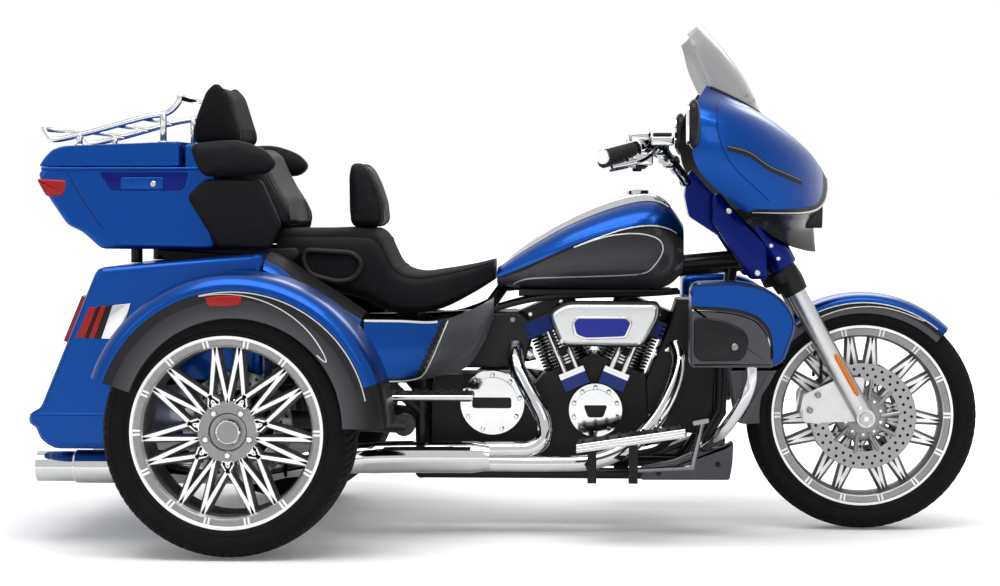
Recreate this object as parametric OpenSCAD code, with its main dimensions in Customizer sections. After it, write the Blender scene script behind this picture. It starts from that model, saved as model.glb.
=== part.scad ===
/* [Wheels] */
// Distance between the front and rear axles
wheelbase = 1670; // [1620:5:1720]
// Midpoint of the wheelbase ahead of the origin
axle_mid_x = 131; // [120:1:140]
// Diameter of the front tyre
front_tyre_d = 636; // [616:2:656]
// Width of the front tyre
front_tyre_w = 130; // [116:2:138]
// Diameter of the front rim over its flanges
front_rim_d = 500; // [480:2:516]
// Diameter of the rear tyres
rear_tyre_d = 650; // [630:2:670]
// Width of the rear tyres
rear_tyre_w = 215; // [200:1:220]
// Diameter of the rear rims over their flanges
rear_rim_d = 494; // [474:2:510]
// Gap between the rear body and each rear tyre
wheel_gap = 15; // [12:0.5:18]
// Pairs of spokes in each wheel
spoke_pairs = 7; // [5:1:9]

/* [Steering] */
// Lean of the steering axis from the upright
rake = 26; // [25:0.5:27]
// Lean of the fork legs from the upright
fork_angle = 29; // [28:0.5:30]
// Distance of the steering axis ahead of the tyre contact on the ground
trail = 105; // [98:1:112]
// Distance of each fork leg from the middle
fork_half = 115; // [112:1:120]
// Radius of the fork sliders
slider_r = 27; // [24:0.5:29]
// Radius of the steering stem
stem_r = 20; // [16:0.5:22]

/* [Engine] */
// Crankshaft ahead of the origin
crank_x = 225; // [215:1:235]
// Crankshaft height
crank_z = 290; // [284:1:294]
// Lean of each cylinder from the upright
cylinder_lean = 22.5; // [21.5:0.5:24]
// Radius of the cooling fins
fin_r = 74; // [68:1:76]
// Number of fins on a cylinder
fin_count = 11; // [8:1:13]
// Half width of the crankcase
case_half = 80; // [76:1:84]

/* [Bodywork] */
// Half width of the rear body between the wheels
body_half = 430; // [420:1:434]
// Gap between a rear tyre and the outside of its fender
fender_gap = 32; // [26:1:45]
// Gap between the tread of a rear tyre and the crown of its fender
arch_gap = 66; // [60:1:74]
// Half width of the top box
box_half = 296; // [280:1:310]
// Half width of the fuel tank
tank_half = 168; // [155:1:180]
// Half width of the seat
seat_half = 200; // [185:1:204]
// Half width of the fairing
fairing_half = 418; // [400:1:435]
// Wall of the fairing panels
skin = 4; // [3:0.5:6]
// Width of the trunk door
door_w = 560; // [480:5:620]
// Height of the trunk door
door_h = 290; // [240:5:310]

/* [Hidden] */
$fn = 48;

// Seating gap between curved faces
gap = 0.3;
// Running clearance of a turning bore
run = 0.1;

front_axle_x = axle_mid_x + wheelbase / 2;
rear_axle_x = axle_mid_x - wheelbase / 2;
front_axle_z = front_tyre_d / 2;
rear_axle_z = rear_tyre_d / 2;
steer_ground_x = front_axle_x + trail;
rear_track = 2 * (body_half + wheel_gap) + rear_tyre_w;
fender_half = (rear_track + rear_tyre_w) / 2 + fender_gap;
hub_back = 132.5;
axle_end = rear_track / 2 - hub_back;

// Helper functions

function unit(v) = v / norm(v);
function mix(a, b, t) = a + (b - a) * t;
function flat(rows) = [for (row = rows) for (p = row) p];
function mean(pts) = [for (i = [0:2]) let (c = [for (p = pts) p[i]]) (c * [for (p = pts) 1]) / len(pts)];

// Smooth curve through the rows of a table, t from 0 to 1
function curve(t, rows) =
  let (n = len(rows) - 1, s = min(max(t, 0), 1) * n, i = min(floor(s), n - 1), f = s - i,
       a = rows[max(i - 1, 0)], b = rows[i], c = rows[i + 1], d = rows[min(i + 2, n)])
  b + ((c - a) * f + (2 * a - 5 * b + 4 * c - d) * f * f + (3 * b - 3 * c + d - a) * f * f * f) / 2;
function smooth(pts, n) = [for (i = [0:n]) curve(i / n, pts)];

// Outline with its corners rounded over
function fillet(pts, r, n = 3) =
  [for (i = [0:len(pts) - 1])
    let (q = len(pts), a = pts[(i + q - 1) % q], b = pts[i], c = pts[(i + 1) % q],
         la = norm(a - b), lc = norm(c - b), d = min(r, la * 0.45, lc * 0.45))
    for (k = [0:n]) let (t = k / n) b + (a - b) / la * d * (1 - t) * (1 - t) + (c - b) / lc * d * t * t];

// Outline around two circles, each a row of centre and radius
function belt(c1, r1, c2, r2, n = 20) =
  let (v = c2 - c1, a = atan2(v[1], v[0]), b = acos((r1 - r2) / norm(v)))
  concat([for (i = [0:n]) let (t = a + b + (360 - 2 * b) * i / n) c1 + r1 * [cos(t), sin(t)]],
         [for (i = [0:n]) let (t = a - b + 2 * b * i / n) c2 + r2 * [cos(t), sin(t)]]);

function volume(pts, faces) =
  let (v = [for (f = faces) cross(pts[f[0]], pts[f[1]]) * pts[f[2]]]) v * [for (f = faces) 1];
function flip(faces) = [for (f = faces) [f[2], f[1], f[0]]];

// Closed solid of triangles turned the right way out
module closed(pts, faces) {
  polyhedron(pts, volume(pts, faces) > 0 ? flip(faces) : faces);
}

// Solid through a row of closed rings
module loft(rings) {
  n = len(rings);
  m = len(rings[0]);
  sides = [for (i = [0:n - 2]) for (j = [0:m - 1])
    let (k = (j + 1) % m, a = i * m + j, b = i * m + k) each [[a, b, b + m], [a, b + m, a + m]]];
  ends = [for (j = [0:m - 1]) let (k = (j + 1) % m)
    each [[n * m, k, j], [n * m + 1, (n - 1) * m + j, (n - 1) * m + k]]];
  closed(concat(flat(rings), [mean(rings[0]), mean(rings[n - 1])]), concat(sides, ends));
}

// Solid between two grids of points
module shell(outer, inner) {
  n = len(outer);
  m = len(outer[0]);
  q = n * m;
  function quad(a, b, c, d) = [[a, b, c], [a, c, d]];
  skins = [for (i = [0:n - 2]) for (j = [0:m - 2]) let (a = i * m + j)
    each concat(quad(a, a + 1, a + m + 1, a + m), quad(q + a + m, q + a + m + 1, q + a + 1, q + a))];
  long = [for (i = [0:n - 2]) let (a = i * m, b = i * m + m - 1)
    each concat(quad(a + m, q + a + m, q + a, a), quad(b, q + b, q + b + m, b + m))];
  wide = [for (j = [0:m - 2]) let (a = j, b = (n - 1) * m + j)
    each concat(quad(a, q + a, q + a + 1, a + 1), quad(b + 1, q + b + 1, q + b, b))];
  closed(concat(flat(outer), flat(inner)), concat(skins, long, wide));
}

// Sheet of even thickness on a surface f(u, v)
module panel(f, nu, nv, t) {
  e = 0.004;
  function normal(u, v) = unit(cross(f(min(u + e, 1), v) - f(max(u - e, 0), v),
                                     f(u, min(v + e, 1)) - f(u, max(v - e, 0))));
  outer = [for (i = [0:nu]) [for (j = [0:nv]) f(i / nu, j / nv)]];
  inner = [for (i = [0:nu]) [for (j = [0:nv]) f(i / nu, j / nv) - t * normal(i / nu, j / nv)]];
  shell(outer, inner);
}

// Round tube along a row of points
module tube(path, r, sides = 10, ref = [0, 1, 0]) {
  n = len(path) - 1;
  rings = [for (i = [0:n])
    let (t = unit(path[min(i + 1, n)] - path[max(i - 1, 0)]), x = unit(cross(t, ref)), y = cross(x, t),
         d = is_list(r) ? r[i] : r)
    [for (k = [0:sides - 1]) path[i] + d * (x * cos(360 * k / sides) + y * sin(360 * k / sides))]];
  loft(rings);
}

// Round bar between two points
module rod(a, b, r) {
  v = b - a;
  translate(a)
    rotate([0, acos(v[2] / norm(v)), atan2(v[1], v[0])])
      cylinder(h = norm(v), r = r, $fn = 32);
}

// Outline in x and z drawn out across the width from y0 to y1
module slab(pts, y0, y1) {
  translate([0, max(y0, y1), 0])
    rotate([90, 0, 0])
      linear_extrude(abs(y1 - y0))
        polygon(pts);
}

// Outline in x and z drawn across the width with rounded side edges
module pillow(pts, hub, y0, y1, edge, steps = 3) {
  function inset(k) = edge * (1 - sin(90 * k / steps));
  function ring(y, d) = [for (p = pts) let (q = p + unit(hub - p) * d) [q[0], y, q[1]]];
  s = sign(y1 - y0);
  low = [for (k = [0:steps]) ring(y0 + s * edge * (1 - cos(90 * k / steps)), inset(k))];
  high = [for (k = [steps:-1:0]) ring(y1 - s * edge * (1 - cos(90 * k / steps)), inset(k))];
  loft(concat(low, high));
}

// Places

module at_front() { translate([front_axle_x, 0, 0]) children(); }
module at_rear() { translate([rear_axle_x, 0, 0]) children(); }
function steer_x(z) = steer_ground_x - z * tan(rake);
module at_steer(z) { translate([steer_x(z), 0, z]) rotate([0, -rake, 0]) children(); }
// Point on a fork leg a distance up from the axle
function leg(d, y) = [front_axle_x - d * sin(fork_angle), y, front_axle_z + d * cos(fork_angle)];
module at_cylinder(s) { translate([crank_x, 0, crank_z]) rotate([0, s * cylinder_lean, 0]) children(); }
// Point in a cylinder's own frame
function in_cylinder(s, p) =
  [crank_x + p[0] * cos(cylinder_lean) + s * p[2] * sin(cylinder_lean), p[1],
   crank_z + p[2] * cos(cylinder_lean) - s * p[0] * sin(cylinder_lean)];
// Point taken to the left or right side
function on_side(s, p) = [p[0], s * p[1], p[2]];
// Turn a shape made around z so that it lies around y
module across() { rotate([90, 0, 0]) children(); }

// Chassis

head_low = 724;
head_high = 818;
head_r = 32;
backbone_r = 30;
backbone_front = [steer_x(752), 0, 752];
backbone_rear = [-20, 0, 688];
rail_half = 140;
rail_z = 165;
rail_r = 15;
subframe_half = 200;
subframe_z = rear_axle_z + 99;
floor_z = subframe_z + 16;
seat_deck_z = 602;
guard_root = [520, 150, 250];
jack_z = 145;
jack_half = 50;

// All tubes of the frame, which the nodes share out at the two cut planes
module frame_tubes() {
  tubes = [
    [[610, 0, 742], [585, 62, 600], 16],
    [[585, 62, 600], [572, 95, 330], 16],
    [[572, 95, 330], [470, rail_half, rail_z], 16],
    [[470, rail_half, rail_z], [-250, rail_half, rail_z], rail_r],
    [[-250, rail_half, rail_z], [-250, rail_half, 575], 16],
    [[-20, 0, 684], [-90, 100, 588], 16],
    [[-90, 100, 588], [-250, rail_half, 575], 16],
    [[-250, rail_half, 575], [-620, rail_half, 575], 14],
    [[-250, rail_half, 330], [-340, subframe_half, subframe_z], 14],
    [[-340, subframe_half, subframe_z], [rear_axle_x - 200, subframe_half, subframe_z], 14],
    [[-620, rail_half, 575], [-620, subframe_half, subframe_z], 12]];
  difference() {
    union() {
      rod([steer_x(head_low), 0, head_low], [steer_x(head_high), 0, head_high], head_r);
      rod(backbone_front, backbone_rear, backbone_r);
      for (s = [-1, 1])
        for (t = tubes) {
          a = [t[0][0], s * t[0][1], t[0][2]];
          b = [t[1][0], s * t[1][1], t[1][2]];
          rod(a, b, t[2]);
          translate(b) sphere(r = t[2] + 1, $fn = 24);
        }
      // Cross members under the engine and the seat
      for (x = [-150, 60, 300])
        translate([x - 20, -rail_half, rail_z - 8]) cube([40, 2 * rail_half, 16]);
      translate([-320, -rail_half, seat_deck_z - 16]) cube([60, 2 * rail_half, 16 - gap]);
      translate([-600, -subframe_half, subframe_z + 4]) cube([30, 2 * subframe_half, 9]);
      // Pads that carry the rear body
      for (s = [-1, 1])
        for (x = [rear_axle_x - 180, rear_axle_x + 20])
          translate([x - 25, s * subframe_half - 20, subframe_z])
              cube([50, 40, floor_z - subframe_z - gap]);
      // Bar ends for the engine guard
      for (s = [-1, 1])
        rod([guard_root[0], s * 105, guard_root[2]], on_side(s, guard_root), 14);
      // Tank rests on the backbone
      for (x = [110, 380])
        rod([x, -8, tunnel_z(x) - 10.5], [x, 8, tunnel_z(x) - 10.5], 10);
      // Pad for a lift jack
      translate([60 - jack_half, -jack_half, jack_z]) cube([2 * jack_half, 2 * jack_half, rail_z - jack_z]);
      // Engine pads
      for (x = [-150, 60, 300])
        translate([x - 20, -60, rail_z]) cube([40, 120, case_bottom - rail_z]);
    }
    rod([steer_x(head_low - 40), 0, head_low - 40], [steer_x(head_high + 40), 0, head_high + 40],
        stem_r + run);
  }
}

tail_cut_x = -322;
upright_cut_z = 500;
far = 2000;
module frame() {
  color("#20242c")
    intersection() {
      frame_tubes();
      translate([tail_cut_x, -far / 2, 0]) cube([far, far, far]);
    }
}

module seat_rails() {
  color("#20242c")
    intersection() {
      frame_tubes();
      translate([tail_cut_x - far, -far / 2, upright_cut_z]) cube([far, far, far]);
    }
}

module subframe() {
  color("#20242c")
    intersection() {
      frame_tubes();
      translate([tail_cut_x - far, -far / 2, upright_cut_z - far]) cube([far, far, far]);
    }
}

// Engine

case_bottom = 205;
deck_h = 185;
head_h = 290;
rocker_h = 338;
rocker_top = 372;
barrel_r = 56;
head_half = 98;
head_len = 78;
rocker_half = 62;
block_h = 118;
block_top = 168;
front_pulley = [-130, 361];
front_pulley_r = 45;
rear_pulley_r = 95;
belt_y = 96;
belt_w = 26;
belt_t = 5;

module engine_block() {
  deck = [for (s = [-1, 1]) in_cylinder(s, [s * 76, 0, deck_h])];
  apex_z = crank_z + deck_h / cos(cylinder_lean);
  pts = [[-225, 240], [-200, case_bottom], [330, case_bottom], [372, 245], [378, 340],
         [deck[1][0], deck[1][2]], [crank_x, apex_z], [deck[0][0], deck[0][2]], [60, 404], [36, 430],
         [-200, 430], [-225, 405]];
  color("#17181b") {
    slab(pts, -case_half, case_half);
    translate([front_pulley[0], belt_y + belt_w / 2, front_pulley[1]])
      across() cylinder(h = belt_y + belt_w / 2 - case_half + 1, r = front_pulley_r - 3 * gap);
  }
}

module cylinders() {
  pitch = (head_h - deck_h) / fin_count;
  comb = concat([[barrel_r - 16, deck_h], [barrel_r, deck_h]],
    [for (i = [0:fin_count - 1]) let (z = deck_h + pitch * (i + 0.25))
      each [[barrel_r, z], [fin_r, z], [fin_r, z + pitch * 0.5], [barrel_r, z + pitch * 0.5]]],
    [[barrel_r, head_h], [barrel_r - 16, head_h]]);
  color("#222428")
    difference() {
      for (s = [-1, 1])
        at_cylinder(s) rotate_extrude() polygon(comb);
      translate([crank_x - 2, -150, crank_z]) cube([4, 300, 400]);
    }
}

module rocker_boxes() {
  color("#2a2c31")
    for (s = [-1, 1])
      at_cylinder(s) {
        difference() {
          translate([-head_len, -head_half, head_h]) cube([2 * head_len, 2 * head_half, rocker_h - head_h]);
          for (i = [0:2])
            for (k = [-1, 1])
              translate([k * (head_len + 2) - 12, -head_half - 1, head_h + 9 + i * 13])
                cube([24, head_half - 40, 6]);
        }
        translate([0, 0, rocker_h])
          linear_extrude(rocker_top - rocker_h)
            polygon(fillet([[-84, -rocker_half], [84, -rocker_half], [84, rocker_half],
                [-84, rocker_half]], 30, 4));
      }
}

module pushrods() {
  color("#2f5fa8")
    for (s = [-1, 1])
      at_cylinder(s) {
        translate([-36, -case_half - 28, block_h]) cube([72, 28, block_top - block_h]);
        for (x = [-18, 18])
          translate([x, -case_half - 9, block_top - 1])
              cylinder(h = head_h - block_top + 1, r = 8.5, $fn = 24);
      }
}

cam_center = [229, 337];
gearbox_center = [-55, 356];

// Round cover on the right side of the engine
module round_cover(c, r, depth, rim) {
  translate([c[0], -case_half, c[1]]) {
    across() cylinder(h = depth, r = r);
    across() cylinder(h = depth + 14, r = r - rim);
  }
}

module engine_covers() {
  primary = belt([-60, 350], 92, [225, 300], 104);
  color("#c9ccd1") {
    round_cover(cam_center, 73, 45, 16);
    round_cover(gearbox_center, 88, 42, 18);
    slab(primary, case_half + 60, case_half + 130);
    slab(belt([40, 330], 70, [225, 300], 96), case_half, case_half + 60);
  }
}

cleaner_y = 215;
module air_cleaner() {
  pts = [[98, 606], [149, 638], [404, 638], [404, 595], [357, 514], [133, 518]];
  mid = [250, 575];
  color("#b4b7bb") {
    slab(fillet([for (p = pts) mix(mid, p, 0.94)], 14, 2), -head_half, -head_half - 14);
    pillow(fillet(pts, 12, 2), mid, -head_half - 14, -cleaner_y, 12, 2);
  }
}

port_h = 306;
pipe_r = 22;
merge_x = -70;
muffler_x = -600;
muffler_y = 330;
muffler_z = 200;
muffler_r = 45;
muffler_end = -1266;

module exhaust_pipes() {
  rear = concat([in_cylinder(-1, [-head_len, -62, port_h]), in_cylinder(-1, [-head_len - 14, -62, port_h])],
    smooth([[8, -82, 512], [12, -140, 465], [44, -176, 398], [84, -195, 325], [88, -202, 268],
        [55, -207, 240],
            [0, -210, 237], [merge_x, -212, 236]], 18));
  front = concat([in_cylinder(1, [head_len, -62, port_h]), in_cylinder(1, [head_len + 14, -62, port_h])],
    smooth([[446, -72, 518], [458, -108, 470], [440, -145, 400], [392, -175, 315], [320, -196, 245],
            [225, -208, 206], [110, -212, 200], [merge_x, -215, 200]], 18));
  body = smooth([[merge_x + 12, -214, 217], [-250, -218, 217], [-400, -232, 214], [-500, -290, 206],
                 [muffler_x + 20, -muffler_y, muffler_z]], 14);
  cross = smooth([[-395, -215, 210], [-440, -120, 192], [-455, 60, 190], [-490, 240, 194],
                  [muffler_x + 20, muffler_y, muffler_z]], 14);
  color("#b9bcc2") {
    tube(rear, pipe_r, 12);
    tube(front, pipe_r, 12);
    tube(concat(body, [[muffler_x, -muffler_y, muffler_z]]),
         [for (i = [0:15]) lookup(i, [[0, 36], [1, 44], [6, 44], [11, 28], [15, 28]])], 12);
    tube(concat(cross, [[muffler_x, muffler_y, muffler_z]]), 24, 12, [0, 0, 1]);
  }
}

module mufflers() {
  color("#c6c9ce")
    for (s = [-1, 1])
      translate([muffler_x, s * muffler_y, muffler_z])
        rotate([0, -90, 0])
          rotate_extrude()
            polygon([[0, 0], [28, 0], [muffler_r, 60], [muffler_r, 560], [muffler_r - 4, 566],
                     [muffler_r - 4, muffler_x - muffler_end], [muffler_r - 9, muffler_x - muffler_end],
                     [muffler_r - 9, 575], [0, 575]]);
}

// Tank and seat

// x, half width, top, bottom
tank_rows = [[-44, 0.52, 726, 676], [40, 0.66, 784, 668], [150, 0.84, 848, 667], [270, 0.96, 898, 667],
             [370, 1, 920, 668], [430, 0.92, 900, 680], [470, 0.66, 846, 716]];
tank_tunnel = 72;
function tank_row(u) = curve(u, tank_rows);
function tank_pt(u, a) =
  let (r = tank_row(u), w = r[1] * tank_half, c = cos(a), s = sin(a))
  [r[0], w * sign(c) * pow(abs(c), 0.75), mix(r[3], r[2], (1 + sign(s) * pow(abs(s), 0.8)) / 2)];
function tunnel_z(x) = mix(backbone_rear[2], backbone_front[2],
  (x - backbone_rear[0]) / (backbone_front[0] - backbone_rear[0])) + backbone_r + 6;

tank_steps = 14;
module fuel_tank() {
  nu = tank_steps;
  nv = 20;
  outer = [for (i = [0:nu]) [for (j = [0:nv]) tank_pt(i / nu, -62 + 304 * j / nv)]];
  inner = [for (i = [0:nu]) let (r = tank_row(i / nu), w = min(tank_tunnel, r[1] * tank_half * 0.44))
    [for (j = [0:nv]) let (a = 180 * j / nv, c = cos(a))
      [r[0], w * sign(c) * pow(abs(c), 0.5), mix(r[3] - 1, tunnel_z(r[0]), pow(sin(a), 0.5))]]];
  color("#1f4f9e")
    shell(outer, inner);
}

console_turn = 22;
module tank_console() {
  nu = 11;
  nv = 8;
  function top(i, j, h) = tank_pt((i + 1) / tank_steps, 90 + console_turn * (2 * j / nv - 1)) + [0, 0, h];
  inner = [for (i = [0:nu]) [for (j = [0:nv]) top(i, j, 2 * gap)]];
  outer = [for (i = [0:nu]) [for (j = [0:nv])
    top(i, j, 4 + 10 * sin(180 * i / nu) * (1 - pow(2 * j / nv - 1, 4)))]];
  color("#c8cbd0")
    shell(outer, inner);
}

// x, half width, top, bottom
seat_rows = [[-52, 0.44, 750, 692], [-110, 0.66, 736, 656], [-190, 0.88, 722, 616], [-262, 0.98, 715, 602],
             [-318, 1, 740, 602], [-362, 1, 822, 616], [-410, 1, 838, 640], [-520, 1, 836, 664],
             [-640, 0.98, 836, 674]];
module seat() {
  n = 24;
  m = 22;
  bottoms = [for (r = seat_rows) [-r[0], r[3]]];
  rings = [for (i = [0:n]) let (r = curve(i / n, seat_rows), low = lookup(-r[0], bottoms),
      w = r[1] * seat_half)
    [for (j = [0:m - 1]) let (a = 360 * j / m, c = cos(a), s = sin(a))
      [r[0], w * sign(c) * pow(abs(c), 0.42), mix(low, r[2],
          (1 + sign(s) * pow(abs(s), s > 0 ? 0.5 : 0.25)) / 2)]]];
  color("#2b2c2f")
    loft(rings);
}

module rider_backrest() {
  pts = fillet([[-388, 837.9], [-372, 930], [-352, 1000], [-372, 1022], [-440, 1012], [-452, 940],
      [-442, 837.9]], 26, 3);
  color("#33353a")
    pillow(pts, [-410, 930], -120, 120, 34, 3);
}

// Side panels, shoulders

module side_covers() {
  // along the panel: x, distance from the middle, bottom, top
  rows = [[-378, body_half - 6, 436, 600], [-290, mix(body_half, rail_half, 0.22), 430, 596],
          [-195, mix(body_half, rail_half, 0.48), 440, 590], [-110, rail_half + 76, 470, 616],
          [-48, rail_half + 32, 590, 650]];
  peg = [-250, 500];
  color("#1f4f9e")
    for (s = [-1, 1]) {
      panel(function (u, v) let (r = curve(u, rows)) [r[0], s * (r[1] - 14 * pow(2 * v - 1, 2)),
          mix(r[2], r[3], v)],
            12, 6, -s * 6);
      rod([peg[0], s * (rail_half + 16 + gap), peg[1]],
          [peg[0], s * (mix(body_half, rail_half, 0.22) - 32), peg[1]], 9);
    }
}

module body_shoulders() {
  top = [[rear_axle_x + body_top[0][0] + gap, 764], [-560, 706], [-470, 656], [-384, 604]];
  low = [for (i = [3:-1:0]) top[i] - [i == 3 ? 12 : 0, 18]];
  color("#202226")
    for (s = [-1, 1])
      slab(concat(top, [[-384, 445], [-396, 445]], low), s * (seat_half + 4), s * (body_half - gap));
}

module lower_fairings() {
  upper = [[478, 698], [600, 702], [670, 688], [722, 654], [753, 594], [722, 500], [700, 482], [478, 482]];
  blade = [[722, 502], [685, 433], [645, 370], [622, 327], [606, 330], [610, 420], [616, 484], [700, 484]];
  color("#35383d")
    for (s = [-1, 1]) {
      difference() {
        pillow(fillet(upper, 34, 3), [610, 590], s * 246, s * 438, 20, 3);
        translate([440, min(s * 270, s * 414), 512]) cube([150, 144, 150]);
      }
      slab(fillet(blade, 16, 2), s * 262, s * 384);
    }
}

module engine_guard() {
  path = concat([guard_root + [0, gap, 0]], smooth([guard_root + [0, 20, 0], [532, 250, 262],
      [566, 364, 308],
    [612, 416, 384], [634, 420, 440]], 12), [[634, 420, 482 - gap]]);
  color("#c6c9ce")
    for (s = [-1, 1])
      tube([for (p = path) on_side(s, p)], 16, 10, [1, 0, 0]);
}

module chin_spoiler() {
  pts = [[358, 152], [575, 150], [598, 196], [596, 226], [548, 222], [430, 206], [358, 190]];
  color("#35383d")
    for (s = [-1, 1])
      slab(fillet(pts, 14, 2), s * (rail_half + 17 + gap), s * 215);
}

board_arms = [220, 330];
board_post = 306;
module floorboards() {
  color("#b9bcc2")
    for (s = [-1, 1]) {
      // Rider board on two arms
      translate([180, 0, 252])
        rotate([0, -8.5, 0])
          slab(fillet([[0, 0], [290, 0], [290, 22], [0, 22]], 8, 2), s * 300, s * 412);
      for (x = board_arms) {
        slab([[x - 12, 160], [x + 12, 160], [x + 12, 174], [x - 12, 174]], s * (rail_half + rail_r + gap),
            s * (board_post + 14));
        slab([[x - 12, 160], [x + 12, 160], [x + 12, 264 + (x - 180) * 0.15],
            [x - 12, 264 + (x - 180) * 0.15]],
             s * board_post, s * (board_post + 14));
      }
      // Passenger board on one arm
      slab(fillet([[-346, 382], [-96, 382], [-96, 402], [-346, 402]], 8, 2), s * 262, s * 372);
      slab([[-262, 384], [-238, 384], [-238, 398], [-262, 398]], s * (rail_half + 16 + gap), s * 270);
    }
}

module foot_controls() {
  x0 = board_arms[1] + 12 + gap;
  y = board_post + 7;
  color("#8e9196")
    for (s = [-1, 1]) {
      rod([x0, s * y, 196], [486, s * y, 204], 7);
      translate([486, s * y, 204]) sphere(r = 8, $fn = 24);
      rod([486, s * y, 204], [512, s * y, 322], 7);
      slab(fillet([[488, 318], [530, 326], [528, 338], [486, 330]], 4, 2), s * (y - 28), s * (y + 30));
    }
}

// Rear body and fenders

body_top = [[62, 774], [-380, 736]];
body_foot = [-536, 362];
face_lean = atan2(body_top[1][0] - body_foot[0], body_top[1][1] - body_foot[1]);
door_low = 34;
door_t = 20;
door_margin = 5;
hinge_out = 9;
hinge_r = 8;
pin_r = 4;
door_hinges = [-180, 180];

module at_door() {
  translate([rear_axle_x + body_foot[0], 0, body_foot[1]]) rotate([0, face_lean, 0]) children();
}

module rear_body() {
  pts = [body_top[0], body_top[1], body_foot, [-566, 350], [-566, 322], [-548, 314], [-536, 280],
      [-500, 256],
         [-245, 256], [-230, floor_z], [62, floor_z]];
  hollow = [[30, 750], [-364, 712], [-496, 398], [-496, 290], [-478, 280], [-266, 280], [-252, floor_z + 24],
            [30, floor_z + 24]];
  color("#1f4f9e") {
    difference() {
      at_rear() pillow(fillet(pts, 16, 2), [-330, 470], -body_half, body_half, 22, 3);
      at_rear() slab(hollow, -body_half + 24, body_half - 24);
      at_door()
        translate([-40, -door_w / 2 - door_margin, door_low - door_margin])
          cube([110, door_w + 2 * door_margin, door_h + 2 * door_margin]);
    }
    // Hinge lugs and pins below the door
    at_door()
      for (y = door_hinges) {
        for (k = [-1, 1])
          translate([-hinge_out, y + k * 28 + 8, door_low - 14]) {
            across() cylinder(h = 16, r = hinge_r - 1);
            translate([0, -16, -hinge_r + 1]) cube([hinge_out + 3, 16, hinge_r - 1]);
          }
        translate([-hinge_out, y + 30, door_low - 14]) across() cylinder(h = 60, r = pin_r);
      }
  }
}

module trunk_door() {
  color("#1f4f9e")
    at_door() {
      difference() {
        translate([0, -door_w / 2, door_low]) cube([door_t, door_w, door_h]);
        translate([8, -door_w / 2 + 14, door_low + 14]) cube([door_t, door_w - 28, door_h - 28]);
      }
      for (y = door_hinges)
        difference() {
          union() {
            translate([-hinge_out, y + 16, door_low - 14]) across() cylinder(h = 32, r = hinge_r);
            translate([-hinge_out - hinge_r + 2, y - 16, door_low - 14]) cube([7, 32, 40]);
            translate([-hinge_out, y - 16, door_low + 10]) cube([hinge_out + 2, 32, 16]);
          }
          translate([-hinge_out, y + 20, door_low - 14]) across() cylinder(h = 40, r = pin_r + run);
        }
    }
}

fender_dx = 23;
fender_dz = 16;
fender_r = rear_tyre_d / 2 + arch_gap;
fender_in = fender_r - 115;
module fender(s) {
  t = 5;
  w = fender_half - body_half;
  roof = fillet([[fender_r - 14, 0], [fender_r, 60], [fender_r, w - 34], [fender_r - 30, w],
      [fender_r - 44, w - 6],
                 [fender_in, w - 10], [fender_in, w - 10 - t], [fender_r - 44, w - 12 - t],
                 [fender_r - 40, w - 20], [fender_r - t - 2, w - 40], [fender_r - t, 60],
                     [fender_r - 14 - t, 0]], 5, 2);
  color("#1f4f9e")
    translate([rear_axle_x + fender_dx, s * body_half, rear_axle_z + fender_dz])
      across()
        rotate_extrude(angle = 161, start = 0)
          polygon([for (p = roof) [p[0], -s * p[1]]]);
}

module tail_lamps() {
  color("#b3161c")
    for (s = [-1, 1])
      at_door()
        translate([-12 - gap, min(s * 300, s * 400), 190])
          cube([12, 100, 130]);
}

module rear_axle() {
  color("#1b1c1f") {
    translate([rear_axle_x, axle_end, rear_axle_z]) across() cylinder(h = 2 * axle_end, r = 38);
    translate([rear_axle_x, 0, rear_axle_z]) sphere(r = 88);
    translate([rear_axle_x, belt_y + belt_w / 2, rear_axle_z]) across()
        cylinder(h = belt_w, r = rear_pulley_r - 3 * gap);
    for (s = [-1, 1]) {
      translate([rear_axle_x, max(s * axle_end, s * (axle_end + 20)), rear_axle_z]) across()
          cylinder(h = 20, r = 60);
      translate([rear_axle_x, max(s * axle_end, s * (axle_end + 190)), rear_axle_z]) across()
          cylinder(h = 190, r = 20);
      // Trailing arms to the frame uprights
      rod([rear_axle_x, s * 230, rear_axle_z], [-296 - gap, s * rail_half, 296], 24);
      translate([-296 - gap, s * rail_half, 296]) across() cylinder(h = 40, r = 30, center = true);
    }
  }
}

module rear_calipers() {
  color("#2a2c30")
    for (s = [-1, 1])
      translate([rear_axle_x, s * (axle_end + 20), rear_axle_z])
        rotate([0, 20, 0])
          translate([60, s > 0 ? 0 : -8, -40])
            cube([70, 8, 80]);
}

module drive_belt() {
  outer = belt(front_pulley, front_pulley_r + belt_t, [rear_axle_x, rear_axle_z], rear_pulley_r + belt_t);
  inner = belt(front_pulley, front_pulley_r, [rear_axle_x, rear_axle_z], rear_pulley_r);
  color("#151515")
    difference() {
      slab(outer, belt_y - belt_w / 2, belt_y + belt_w / 2);
      slab(inner, belt_y - belt_w / 2 - 1, belt_y + belt_w / 2 + 1);
    }
}

// Top box

box_low = 782;
box_split = 1000;
lid_front = -176;
box_front = -86;
box_tail = -568;
cowl_top = box_split + 64;
// Heights of the lid's top at its tail and its front, above the split
lid_rise = [60, 72];
box_hinges = [-480, -250];
hinge_y = box_half + 10;

// Behind the axle, with heights from the split of the box
module at_split() {
  translate([rear_axle_x, 0, box_split]) children();
}

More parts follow.
